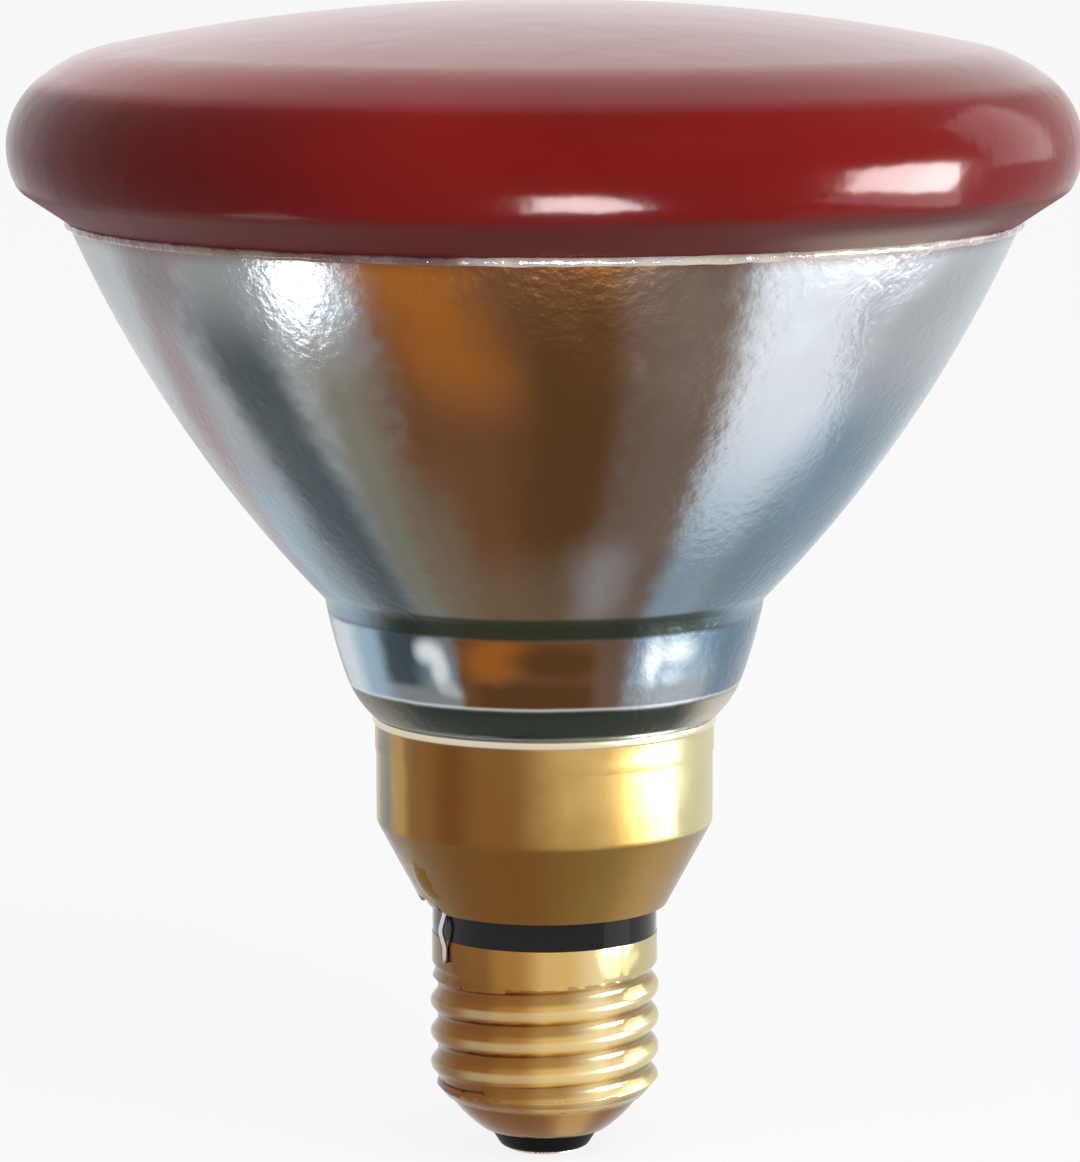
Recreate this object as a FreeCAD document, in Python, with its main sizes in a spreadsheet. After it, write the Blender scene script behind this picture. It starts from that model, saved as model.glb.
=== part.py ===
"""Infrared reflector heat lamp: pressed glass bulb on a skirted screw cap.

Sizes are in millimetres. The lamp stands cap down on +Z, with the origin on its axis
at the underside of the centre contact. -Y is the front.
"""
import FreeCAD, Part
import math
import os
import re
import Sketcher
from FreeCAD import Placement, Rotation, Vector

SIZES = {
    # Pressed lens: a shallow dome whose edge rolls over through four tangent arcs
    "lens_radius": 60.65,            # widest point of the rolled rim
    "rim_overhang": 6.75,            # the rim stands this far out past the seam
    "rim_curve": 9.4,
    "shoulder_curve": 17.5,
    "shoulder_turn": 48.3,           # degrees, where the rim arc meets the shoulder arc
    "dome_rise": 4.65,               # crown above the top of the shoulder arc
    "lip_curve": 3.0,
    "lip_turn": 24.6,                # degrees, where the rim arc meets the lip arc
    "underside_slope": 33.8,         # degrees, from the lip down to the seam
    "bead_reach": 0.8,               # how far the fused bead runs along each glass
    "bead_curve": 1.6,
    # Pressed reflector: bowl, thick neck, and a heel that the cap is cemented to
    "bowl_curve": 147.0,
    "bowl_rise": 43.2,               # neck to seam
    "neck_side_curve": 60.0,
    "neck_rise": 9.05,
    "neck_flare": 2.4,
    "neck_foot_curve": 11.5,
    "neck_foot_rise": 4.5,           # above the brass skirt
    "neck_foot_flare": 2.95,
    "foot_overhang": 0.45,           # the neck's foot stands this far out past the skirt
    "heel_radius": 18.6,
    "heel_depth": 10.7,              # inside the skirt
    "heel_bevel": 1.5,
    # Lead seals and exhaust tube in the heel
    "ferrule_offset": 8.5,           # ferrule axis from the lamp's axis
    "ferrule_radius": 3.1,
    "ferrule_wall": 0.4,
    "ferrule_sunk": 4.0,
    "ferrule_drop": 1.5,
    "exhaust_radius": 2.2,
    "exhaust_bore": 0.8,
    "exhaust_sunk": 0.8,
    "exhaust_drop": 6.0,
    # Drawn brass skirt with a hemmed top edge, cemented to the heel
    "sheet": 0.35,
    "cement_gap": 0.4,
    "cement_drop": 1.0,              # cement stops this far below the skirt's top
    "wall_rise": 12.4,
    "hem_overhang": 0.4,             # rolled bead at the very top
    "hem_curve": 0.55,
    "hem_depth": 4.0,
    "hem_step": 0.13,
    "cone_rise": 9.7,
    "cone_break": 1.2,               # bend radius between wall and cone
    "lead_room": 1.15,               # between the screw shell's collar and the cone's edge
    # Wire exit in the skirt's lower edge, and the flute pressed above it
    "lead_turn": 211.5,              # degrees about the axis, from +X
    "notch_turn": 200.0,
    "notch_height": 1.35,
    "notch_half_width": 4.4,
    "notch_half_top": 2.6,
    "flute_above_edge": 3.8,
    "flute_half_length": 2.5,
    "flute_half_width": 1.5,
    "flute_rise": 0.45,
    # Black insulating ring between skirt and screw shell
    "ring_show": 3.4,                # height in view
    "ring_inset": 0.05,              # behind the collar
    "ring_bore": 6.0,
    "ring_head": 4.1,                # reaches this far up inside the cone
    "spigot_depth": 3.0,
    "seat_gap": 0.06,                # clearance where the cap's pieces nest
    "slot_width": 1.3,
    "slot_sill": 0.2,                # slot's floor below the cone's edge
    "slot_gap": 0.25,                # between the wire and the slot's end
    # Rolled screw shell, standard 27 mm knuckle thread of seven turns to the inch
    "thread_root": 12.3,
    "thread_depth": 0.9,
    "thread_pitch": 3.629,
    "thread_flank": 40.24,           # degrees that each crest and root arc turns to a flank
    "thread_length": 13.6,
    "thread_runout": 2.6,
    "thread_lead_in": 3.9,           # starts this far below the full depth, and is cut away
    "thread_spare": 0.18,            # turns past the collar's foot
    "foot_depth": 2.0,               # how far the section reaches into the wall
    "root_flat": 0.05,               # the root's flat stands this proud of its arcs
    "collar_overhang": 0.7,          # out past the thread's root
    "collar_depth": 3.5,
    "collar_ease": 1.0,              # height over which the root widens into the collar
    "shell_sheet": 0.3,
    "end_bottom": 2.65,
    "end_bottom_radius": 7.35,
    "end_rise": 4.35,
    "end_inset": 0.75,               # in from the thread's root
    "end_step": 0.4,                 # the thread's core reaches this far into the end cone
    "end_curve": 16.0,
    "end_lip": 0.8,                  # turned-in edge that holds the tip
    "full_thread_rise": 1.6,         # from the end cone up to full depth
    # Black glass tip, contact eyelet and its solder
    "tip_bottom": 0.35,
    "tip_inset": 1.5,
    "tip_round": 0.6,
    "tip_head": 3.75,                # reaches this far up inside the shell
    "contact_inset": 0.75,
    "contact_flange": 0.5,
    "eyelet_radius": 1.5,
    "eyelet_bore": 0.9,
    "eyelet_drop": 1.0,              # below the tip's inner end
    "solder_top": 3.6,
    # Lead wires
    "wire_radius": 0.3,
    "wire_bend": 1.4,
    "centre_lead_end": 0.8,
    "lead_straight": 3.9,            # both leads run straight this far below the heel
    "axis_drop": 3.7,                # the centre lead meets the axis below the ring's top
    "slot_lead_inset": 1.45,         # inside the cone's edge
    "slot_lead_rise": 2.3,
    "exit_lead_inset": 0.75,
    "exit_lead_drop": 0.4,
    "bow_reach": 0.95,               # out past the collar
    "bow_rise": 1.3,
    "weld_drop": 0.7,
    "weld_length": 1.8,
    "weld_gap": 0.02,
}

# Sizes that follow from the ones above, from the contact up
FOLLOWING = {
    "end_top": "end_bottom + end_rise",
    "end_top_radius": "thread_root - end_inset",
    "end_hole": "end_bottom_radius - end_lip",
    "thread_low": "end_top + full_thread_rise",
    "thread_start": "thread_low - thread_lead_in",
    "thread_turns": "(thread_length + thread_lead_in) / thread_pitch + thread_spare",
    "thread_curve": "(thread_pitch / 2 * sin(thread_flank) - thread_depth * cos(thread_flank))"
                    " / (2 - 2 * cos(thread_flank))",
    "thread_foot": "thread_root - foot_depth",
    "collar_bottom": "thread_low + thread_length",
    "collar_top": "collar_bottom + collar_depth",
    "collar_radius": "thread_root + collar_overhang",
    "tip_bottom_radius": "end_hole - tip_inset",
    "tip_inner_top": "end_bottom + tip_head",
    "contact_radius": "tip_bottom_radius - contact_inset",
    "eyelet_top": "tip_inner_top - eyelet_drop",
    "cone_bottom": "collar_top + ring_show",
    "cone_bottom_radius": "collar_radius + lead_room",
    "cone_top": "cone_bottom + cone_rise",
    "skirt_top": "cone_top + wall_rise",
    "skirt_radius": "heel_radius + cement_gap + sheet",
    "hem_radius": "skirt_radius + hem_overhang",
    "hem_bottom": "skirt_top - hem_depth",
    "cement_top": "skirt_top - cement_drop",
    "flute_height": "cone_bottom + flute_above_edge",
    "ring_radius": "collar_radius - ring_inset",
    "ring_top": "cone_bottom + ring_head",
    "heel_bottom": "skirt_top - heel_depth",
    "neck_foot_radius": "skirt_radius + foot_overhang",
    "neck_turn_radius": "neck_foot_radius + neck_foot_flare",
    "neck_turn_height": "skirt_top + neck_foot_rise",
    "neck_top_radius": "neck_turn_radius + neck_flare",
    "neck_top_height": "neck_turn_height + neck_rise",
    "seam_radius": "lens_radius - rim_overhang",
    "seam_height": "neck_top_height + bowl_rise",
    "lip_radius": "lens_radius - rim_curve + (rim_curve - lip_curve) * cos(lip_turn)",
    "lip_height": "seam_height + lip_curve * cos(underside_slope)"
                  " + (lip_radius + lip_curve * sin(underside_slope) - seam_radius) * tan(underside_slope)",
    "rim_height": "lip_height + (rim_curve - lip_curve) * sin(lip_turn)",
    "shoulder_radius": "lens_radius - rim_curve - (shoulder_curve - rim_curve) * cos(shoulder_turn)",
    "shoulder_height": "rim_height - (shoulder_curve - rim_curve) * sin(shoulder_turn)",
    "dome_curve": "(shoulder_radius ^ 2 + dome_rise ^ 2) / dome_rise / 2 + shoulder_curve",
    "lens_top": "shoulder_height + shoulder_curve + dome_rise",
    "lead_drop": "heel_bottom - lead_straight",
    "centre_lead_meets_axis": "ring_top - axis_drop",
    "slot_lead_radius": "cone_bottom_radius - slot_lead_inset",
    "slot_lead_height": "cone_bottom + slot_lead_rise",
    "slot_floor": "cone_bottom - slot_sill",
    "slot_inner_radius": "ferrule_offset + (slot_lead_radius - ferrule_offset) * (lead_drop - ring_top)"
                         " / (lead_drop - slot_lead_height) - wire_radius - slot_gap",
    "exit_lead_radius": "cone_bottom_radius - exit_lead_inset",
    "exit_lead_height": "cone_bottom - exit_lead_drop",
    "bow_radius": "collar_radius + bow_reach",
    "bow_height": "collar_top + bow_rise",
    "weld_radius": "collar_radius + wire_radius + weld_gap",
    "weld_top": "collar_top - weld_drop",
    "weld_bottom": "weld_top - weld_length",
}

# The edge of the flute's section that it is turned about
FLUTE_AXIS = "Edge4"
# The points of a sketch's edge
START, END, CENTRE = 1, 2, 3

doc = FreeCAD.newDocument("heat_lamp")
sizes = doc.addObject("Spreadsheet::Sheet", "sizes")
for row, (alias, number) in enumerate(SIZES.items(), start=1):
    sizes.set("A%d" % row, alias.replace("_", " "))
    sizes.set("B%d" % row, str(number))
    sizes.setAlias("B%d" % row, alias)
doc.recompute()


def spelled_out(expression, prefix=""):
    """An expression of the sheet's own sizes only, each name after a prefix."""
    def written(word):
        name = word[0]
        if name in FOLLOWING:
            return "(%s)" % spelled_out(FOLLOWING[name], prefix)
        return prefix + name if name in SIZES else name

    return re.sub(r"[a-z][a-z_]+", written, expression)


def value(expression):
    """The number that an expression gives."""
    result = sizes.evalExpression(spelled_out(expression))
    return float(getattr(result, "Value", result))


def bound(expression):
    """The same expression with each size's name pointing at the sheet."""
    return spelled_out(expression, "sizes.")


class Outline:
    """A sketched outline, radius across and height up, held by expressions of the sheet."""

    def __init__(self, body, name, plane="XZ_Plane"):
        self.sketch = body.newObject("Sketcher::SketchObject", name)
        support = next(item for item in body.Origin.OriginFeatures if item.Role == plane)
        self.sketch.AttachmentSupport = [(support, "")]
        self.sketch.MapMode = "FlatFace"
        self.ends = []

    def line(self, start, end):
        edge = self.sketch.addGeometry(Part.LineSegment(start, end))
        self.ends.append((START, END))
        return edge

    def circle(self, across, radius):
        """A circle on the level axis, at a distance from the origin."""
        shape = Part.Circle(Vector(value(across), 0, 0), Vector(0, 0, 1), value(radius))
        edge = self.sketch.addGeometry(shape)
        self.ends.append((CENTRE, CENTRE))
        self.place(edge, across, "0")
        self.hold("Radius", edge, to=radius)

    def arc(self, centre, start, end, turn):
        """An arc from start to end, anticlockwise for a turn of 1 and clockwise for -1."""
        low, high = (start, end) if turn > 0 else (end, start)
        angle_low = math.atan2(low.y - centre.y, low.x - centre.x)
        angle_high = math.atan2(high.y - centre.y, high.x - centre.x)
        if angle_high < angle_low:
            angle_high += 2 * math.pi
        circle = Part.Circle(centre, Vector(0, 0, 1), (start - centre).Length)
        edge = self.sketch.addGeometry(Part.ArcOfCircle(circle, angle_low, angle_high))
        self.ends.append((START, END) if turn > 0 else (END, START))
        return edge

    def hold(self, *args, to=None):
        """Adds a constraint, and binds its value to an expression."""
        numbers = [] if to is None else [value(to)]
        index = self.sketch.addConstraint(Sketcher.Constraint(*args, *numbers))
        if to is not None:
            self.sketch.setExpression("Constraints[%d]" % index, bound(to))

    def place(self, edge, across, up, last=False):
        """Fixes one end of an edge at a distance across and up from the origin."""
        end = self.ends[edge][1 if last else 0]
        for kind, axis, expression in (("DistanceX", -2, across), ("DistanceY", -1, up)):
            if expression == "0":
                self.hold("PointOnObject", edge, end, axis)
            else:
                self.hold(kind, -1, START, edge, end, to=expression)

    def join(self, edge, following, how="Coincident"):
        self.hold(how, edge, self.ends[edge][1], following, self.ends[following][0])

    def corners(self, corners, closed=True):
        """Edges between corners: (across, up) for a sharp one, (across, up, radius) for a
        rounded one, and (across, up, radius, turn) where an arc starts."""
        corners = [(corner + (None, None))[:4] for corner in corners]
        points = [Vector(value(corner[0]), value(corner[1]), 0) for corner in corners]
        count = len(corners) if closed else len(corners) - 1
        for index in range(count):
            start, end = points[index], points[(index + 1) % len(points)]
            radius, turn = corners[index][2:]
            if turn is None:
                self.line(start, end)
                continue
            half = (end - start) / 2
            rise = math.sqrt(value(radius) ** 2 - half.Length ** 2) / half.Length
            centre = start + half + Vector(-half.y, half.x, 0) * (rise * turn)
            self.hold("Radius", self.arc(centre, start, end, turn), to=radius)
        for index in range(count):
            self.place(index, corners[index][0], corners[index][1])
            if index + 1 < count or closed:
                self.join(index, (index + 1) % count)
        if not closed:
            self.place(count - 1, corners[-1][0], corners[-1][1], last=True)
        for index, (_, _, radius, turn) in enumerate(corners):
            if radius and turn is None:
                self.round_corner(index - 1, radius)
        return self

    def round_corner(self, edge, radius):
        """Rounds the corner at the end of an edge, whose corner point keeps its place."""
        self.sketch.fillet(edge, self.ends[edge][1], value(radius), True, True)
        arc = next(index for index in reversed(range(len(self.sketch.Geometry)))
                   if isinstance(self.sketch.Geometry[index], Part.ArcOfCircle))
        self.hold("Radius", arc, to=radius)


def new_body(label):
    body = doc.addObject("PartDesign::Body", label)
    body.Label = label
    return body


def revolve(body, outline, axis="V_Axis", kind="Revolution"):
    """Turns an outline once about the lamp's axis or one of its own edges, and adds it."""
    feature = body.newObject("PartDesign::" + kind, outline.sketch.Name + "_turned")
    feature.Profile = outline.sketch
    feature.ReferenceAxis = (outline.sketch, [axis])
    feature.Angle = 360
    doc.recompute()
    return feature


def revolve_cut(body, outline, axis="V_Axis"):
    """Turns an outline in the same way, and takes it from the body."""
    before = body.Shape.Volume
    feature = revolve(body, outline, axis, "Groove")
    if body.Shape.Volume >= before:
        raise RuntimeError(feature.Name + " cuts nothing")


def turned(label, corners):
    """A body of revolution from one closed outline."""
    body = new_body(label)
    revolve(body, Outline(body, label + "_outline").corners(corners))
    return body


def turn_outline(outline, angle, height="0"):
    """Turns a sketch about the lamp's axis and lifts it."""
    upright = outline.sketch.AttachmentSupport[0][0].Role == "XZ_Plane"
    axis = Vector(0, 1, 0) if upright else Vector(0, 0, 1)
    outline.sketch.AttachmentOffset = Placement(Vector(0, 0, value(height)),
                                                Rotation(axis, value(angle)))
    outline.sketch.setExpression(".AttachmentOffset.Rotation.Angle", bound(angle))
    if not upright:
        outline.sketch.setExpression(".AttachmentOffset.Base.z", bound(height))


def pocket(body, outline, depth):
    """Cuts an outline that lies in a level plane, upwards by a depth."""
    before = body.Shape.Volume
    feature = body.newObject("PartDesign::Pocket", outline.sketch.Name + "_cut")
    feature.Profile = outline.sketch
    feature.Reversed = True
    feature.setExpression("Length", bound(depth))
    doc.recompute()
    if body.Shape.Volume >= before:
        raise RuntimeError(feature.Name + " cuts nothing")
    return feature


def turn_piece(piece, angle):
    """Turns a finished piece about the lamp's axis."""
    piece.Placement = Placement(Vector(), Rotation(Vector(0, 0, 1), value(angle)))
    piece.setExpression(".Placement.Rotation.Angle", bound(angle))


def lens_outline(body):
    """Crown, shoulder, rim and lip arcs, each tangent to the next, then the underside."""
    outline = Outline(body, "lens_outline")
    dome, shoulder, rim, lip = curves = ("dome_curve", "shoulder_curve", "rim_curve", "lip_curve")
    crown = Vector(0, value("lens_top"), 0)
    seam = Vector(value("seam_radius"), value("seam_height"), 0)
    base = Vector(0, seam.y, 0)
    dome_centre = crown - Vector(0, value(dome), 0)
    shoulder_centre = Vector(value("shoulder_radius"), value("shoulder_height"), 0)
    rim_centre = Vector(value("lens_radius - rim_curve"), value("rim_height"), 0)
    lip_centre = Vector(value("lip_radius"), value("lip_height"), 0)

    def from_centre(centre, towards, radius):
        return centre + Vector(towards).normalize() * value(radius)

    dome_end = from_centre(shoulder_centre, shoulder_centre - dome_centre, shoulder)
    shoulder_end = from_centre(rim_centre, rim_centre - shoulder_centre, rim)
    rim_end = from_centre(rim_centre, lip_centre - rim_centre, rim)
    slope = math.radians(value("underside_slope"))
    lip_end = from_centre(lip_centre, Vector(math.sin(slope), -math.cos(slope), 0), lip)

    axis_line = outline.line(base, crown)
    arcs = [outline.arc(dome_centre, crown, dome_end, -1),
            outline.arc(shoulder_centre, dome_end, shoulder_end, -1),
            outline.arc(rim_centre, shoulder_end, rim_end, -1),
            outline.arc(lip_centre, rim_end, lip_end, -1)]
    underside = outline.line(lip_end, seam)
    bottom = outline.line(seam, base)

    outline.join(axis_line, arcs[0])
    for edge, following in zip(arcs, arcs[1:] + [underside]):
        outline.join(edge, following, "Tangent")
    outline.join(underside, bottom)
    outline.join(bottom, axis_line)
    for edge, curve in zip(arcs, curves):
        outline.hold("Radius", edge, to=curve)
    outline.hold("PointOnObject", arcs[0], CENTRE, -2)
    outline.place(arcs[0], "0", "lens_top")
    outline.hold("DistanceX", -1, START, arcs[2], CENTRE, to="lens_radius - rim_curve")
    outline.hold("DistanceY", -1, START, arcs[2], CENTRE, to="rim_height")
    outline.place(bottom, "seam_radius", "seam_height")
    outline.place(axis_line, "0", "seam_height")
    outline.sketch.addConstraint(Sketcher.Constraint("Angle", -1, START, underside, END, slope))
    outline.sketch.setExpression("Constraints[%d]" % (outline.sketch.ConstraintCount - 1),
                                 bound("underside_slope") + " * 1 deg")
    return outline


def make_lens():
    body = new_body("lens")
    revolve(body, lens_outline(body))
    return body


def make_reflector():
    """Bowl, neck and heel in one piece of glass, recessed for the seals in its heel."""
    body = new_body("reflector")
    revolve(body, Outline(body, "reflector_outline").corners([
        ("0", "seam_height"),
        ("seam_radius", "seam_height", "bowl_curve", -1),
        ("neck_top_radius", "neck_top_height", "neck_side_curve", -1),
        ("neck_turn_radius", "neck_turn_height", "neck_foot_curve", -1),
        ("neck_foot_radius", "skirt_top"),
        ("heel_radius", "skirt_top"),
        ("heel_radius", "heel_bottom + heel_bevel"),
        ("heel_radius - heel_bevel", "heel_bottom"),
        ("0", "heel_bottom"),
    ]))
    doc.recompute()
    for name, offset, radius, depth in (
            ("side_seal", "ferrule_offset", "ferrule_radius", "ferrule_sunk"),
            ("centre_seal", "-ferrule_offset", "ferrule_radius", "ferrule_sunk"),
            ("exhaust_seal", "0", "exhaust_radius", "exhaust_sunk")):
        recess = Outline(body, name, "XY_Plane")
        recess.circle(offset, radius)
        turn_outline(recess, "lead_turn", "heel_bottom")
        pocket(body, recess, depth)
    return body


def make_rim_seal():
    """The bead fused into the corner between the lens's underside and the bowl."""
    across = "(seam_radius - neck_top_radius)"
    half_chord = "(sqrt(%s ^ 2 + bowl_rise ^ 2) / 2)" % across
    rise = "(sqrt(bowl_curve ^ 2 - %s ^ 2) / %s / 2)" % (half_chord, half_chord)
    bowl_centre = "(seam_radius - %s / 2 - bowl_rise * %s)" % (across, rise)
    depth = "(bowl_rise / 2 - %s * %s - bead_reach)" % (across, rise)
    return turned("rim_seal", [
        ("seam_radius", "seam_height"),
        ("seam_radius + bead_reach * cos(underside_slope)",
         "seam_height + bead_reach * sin(underside_slope)", "bead_curve", -1),
        ("%s + sqrt(bowl_curve ^ 2 - %s ^ 2)" % (bowl_centre, depth),
         "seam_height - bead_reach", "bowl_curve", 1),
    ])


def make_ferrule(label, turn):
    """A metal thimble sealed into the heel, open downwards, with a lead brazed in its roof."""
    body = turned(label, [
        ("ferrule_radius - ferrule_wall", "heel_bottom - ferrule_drop"),
        ("ferrule_radius", "heel_bottom - ferrule_drop"),
        ("ferrule_radius", "heel_bottom + ferrule_sunk"),
        ("0", "heel_bottom + ferrule_sunk"),
        ("0", "heel_bottom + ferrule_sunk - ferrule_wall"),
        ("ferrule_radius - ferrule_wall", "heel_bottom + ferrule_sunk - ferrule_wall"),
    ])
    angle = value(turn)
    offset = Vector(value("ferrule_offset"), 0, 0)
    body.Placement = Placement(Rotation(Vector(0, 0, 1), angle).multVec(offset), Rotation())
    body.setExpression(".Placement.Base.x", bound("ferrule_offset * cos(%s)" % turn))
    body.setExpression(".Placement.Base.y", bound("ferrule_offset * sin(%s)" % turn))
    return body


def make_exhaust_tube():
    """Glass stub through which the bulb was pumped, melted shut to a point."""
    return turned("exhaust_tube", [
        ("0", "heel_bottom - exhaust_drop"),
        ("exhaust_bore", "heel_bottom - exhaust_drop + exhaust_bore"),
        ("exhaust_radius", "heel_bottom - exhaust_drop + exhaust_radius * 2"),
        ("exhaust_radius", "heel_bottom + exhaust_sunk"),
        ("exhaust_bore", "heel_bottom + exhaust_sunk"),
        ("exhaust_bore", "heel_bottom - exhaust_drop + exhaust_radius * 2"),
        ("0", "heel_bottom - exhaust_drop + exhaust_radius"),
    ])


def make_skirt():
    """Hemmed wall and cone of drawn sheet, notched and fluted where the side lead comes out."""
    body = new_body("brass_skirt")
    revolve(body, Outline(body, "skirt_outline").corners([
        ("0", "skirt_top"),
        ("hem_radius - hem_curve", "skirt_top", "hem_curve", -1),
        ("hem_radius", "skirt_top - hem_curve", "hem_curve", -1),
        ("hem_radius - hem_step * 2", "skirt_top - hem_curve * 2"),
        ("skirt_radius + hem_step", "hem_bottom"),
        ("skirt_radius", "hem_bottom - hem_step * 2"),
        ("skirt_radius", "cone_top", "cone_break"),
        ("cone_bottom_radius", "cone_bottom"),
        ("0", "cone_bottom"),
    ]))
    revolve(body, flute_outline(body, "flute_outside", "0"), FLUTE_AXIS)
    inner_shift = "sheet / cos(atan((skirt_radius - cone_bottom_radius) / (cone_top - cone_bottom)))"
    revolve_cut(body, Outline(body, "skirt_bore").corners([
        ("0", "cone_bottom"),
        ("cone_bottom_radius - %s" % inner_shift, "cone_bottom"),
        ("skirt_radius - sheet", "cone_top + (%s - sheet) * (cone_top - cone_bottom) /"
         " (skirt_radius - cone_bottom_radius)" % inner_shift),
        ("skirt_radius - sheet", "skirt_top"),
        ("0", "skirt_top"),
    ]))
    revolve_cut(body, flute_outline(body, "flute_inside", "sheet"), FLUTE_AXIS)
    cut_notch(body)
    return body


def flute_outline(body, name, inset):
    """Section of the flute that the lead lies under: an arc raised over the cone's line.

    It is turned about its own lowest edge, which lies so deep that the flute gets its width."""
    lean = "atan((skirt_radius - cone_bottom_radius) / (cone_top - cone_bottom))"
    radius = ("(cone_bottom_radius + (flute_height - cone_bottom) *"
              " (skirt_radius - cone_bottom_radius) / (cone_top - cone_bottom))")
    curve = "((flute_half_length ^ 2 + flute_rise ^ 2) / flute_rise / 2 - %s)" % inset
    reach = "sqrt(flute_rise * (2 * %s - flute_rise))" % curve
    axis_depth = "((flute_half_width ^ 2 - flute_rise ^ 2) / flute_rise / 2)"

    def below_cone(along, depth):
        """The point at a distance along the cone's line and a depth under it."""
        return ("%s + %s * sin(%s) - %s * cos(%s)" % (radius, along, lean, depth, lean),
                "flute_height + %s * cos(%s) + %s * sin(%s)" % (along, lean, depth, lean))

    outline = Outline(body, name).corners([
        below_cone("-" + reach, axis_depth),
        below_cone("-" + reach, inset) + (curve, 1),
        below_cone(reach, inset),
        below_cone(reach, axis_depth),
    ])
    turn_outline(outline, "lead_turn")
    return outline


def cut_notch(body):
    """The relief in the skirt's lower edge."""
    before = body.Shape.Volume
    outline = Outline(body, "notch_outline").corners([
        ("-notch_half_width", "cone_bottom - notch_height"),
        ("notch_half_width", "cone_bottom - notch_height"),
        ("notch_half_width", "cone_bottom"),
        ("notch_half_top", "cone_bottom + notch_height"),
        ("-notch_half_top", "cone_bottom + notch_height"),
        ("-notch_half_width", "cone_bottom"),
    ])
    turn_outline(outline, "notch_turn - 90")
    feature = body.newObject("PartDesign::Pocket", "notch_cut")
    feature.Profile = outline.sketch
    feature.setExpression("Length", bound("skirt_radius"))
    doc.recompute()
    if body.Shape.Volume >= before:
        raise RuntimeError("the notch cuts nothing")


def make_cement():
    """Cement that fills the gap between heel and skirt."""
    return turned("capping_cement", [
        ("heel_radius", "heel_bottom + heel_bevel"),
        ("skirt_radius - sheet", "heel_bottom + heel_bevel"),
        ("skirt_radius - sheet", "cement_top"),
        ("heel_radius", "cement_top"),
    ])


def make_insulating_ring():
    """Black ring: a spigot in the shell, a visible collar and a flare inside the skirt."""
    flare = "(skirt_radius - cone_bottom_radius) / (cone_top - cone_bottom)"
    inside_cone = "cone_bottom_radius - sheet / cos(atan(%s)) - seat_gap * 2" % flare
    body = new_body("insulating_ring")
    revolve(body, Outline(body, "ring_outline").corners([
        ("ring_bore", "collar_top - spigot_depth"),
        ("collar_radius - shell_sheet - seat_gap", "collar_top - spigot_depth"),
        ("collar_radius - shell_sheet - seat_gap", "collar_top"),
        ("ring_radius", "collar_top"),
        ("ring_radius", "cone_bottom"),
        (inside_cone, "cone_bottom + seat_gap"),
        ("%s + (ring_top - cone_bottom) * %s" % (inside_cone, flare), "ring_top"),
        ("ring_bore", "ring_top"),
    ]))
    doc.recompute()
    slot = Outline(body, "lead_slot", "XY_Plane").corners([
        ("slot_inner_radius", "-slot_width / 2"),
        ("skirt_radius", "-slot_width / 2"),
        ("skirt_radius", "slot_width / 2"),
        ("slot_inner_radius", "slot_width / 2"),
    ])
    turn_outline(slot, "lead_turn", "slot_floor")
    pocket(body, slot, "ring_top - slot_floor")
    return body


def thread_outline(body):
    """The thread's section: a crest arc, two straight flanks and two root arcs, closed by a foot."""
    outline = Outline(body, "thread_outline")
    pitch, depth, curve, root = (value("thread_" + name) for name in ("pitch", "depth", "curve", "root"))
    height, core, foot = value("thread_start"), value("thread_root + root_flat"), value("thread_foot")
    crest_centre = Vector(root + depth - curve, height, 0)
    # The flanks touch the crest arc and the root arcs at this angle to the lamp's radius
    across, along = 2 * curve - depth, pitch / 2
    lean = math.atan2(along, across) - math.acos(2 * curve / math.hypot(across, along))

    def half(side):
        """Root arc's centre and the points along the lower (-1) or upper (1) side."""
        centre = Vector(root + curve, height + side * along, 0)
        towards_crest = Vector(math.cos(lean), side * math.sin(lean), 0) * curve
        root_end_up = math.sqrt(curve ** 2 - (root + curve - core) ** 2)
        root_end = Vector(core, centre.y - side * root_end_up, 0)
        return centre, root_end, centre - towards_crest, crest_centre + towards_crest

    low_centre, low_end, low_foot, low_head = half(-1)
    high_centre, high_end, high_foot, high_head = half(1)
    low_corner, high_corner = Vector(foot, low_end.y, 0), Vector(foot, high_end.y, 0)
    low_root = outline.arc(low_centre, low_end, low_foot, -1)
    low_flank = outline.line(low_foot, low_head)
    crest = outline.arc(crest_centre, low_head, high_head, 1)
    high_flank = outline.line(high_head, high_foot)
    high_root = outline.arc(high_centre, high_foot, high_end, -1)
    high_side = outline.line(high_end, high_corner)
    inside = outline.line(high_corner, low_corner)
    low_side = outline.line(low_corner, low_end)

    for edge, following in ((low_root, low_flank), (low_flank, crest), (crest, high_flank),
                            (high_flank, high_root)):
        outline.join(edge, following, "Tangent")
    for edge, following in ((high_root, high_side), (high_side, inside), (inside, low_side),
                            (low_side, low_root)):
        outline.join(edge, following)
    root_centre = "thread_root + thread_curve"
    for arc, radius, up in (
            (low_root, root_centre, "thread_start - thread_pitch / 2"),
            (crest, "thread_root + thread_depth - thread_curve", "thread_start"),
            (high_root, root_centre, "thread_start + thread_pitch / 2")):
        outline.hold("Radius", arc, to="thread_curve")
        outline.hold("DistanceX", -1, START, arc, CENTRE, to=radius)
        outline.hold("DistanceY", -1, START, arc, CENTRE, to=up)
    for line in (low_side, high_side):
        outline.hold("Horizontal", line)
    outline.hold("Vertical", inside)
    for line, end, across in ((high_side, START, "thread_root + root_flat"),
                              (high_side, END, "thread_foot"),
                              (low_side, END, "thread_root + root_flat")):
        outline.hold("DistanceX", -1, START, line, end, to=across)
    return outline


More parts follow.
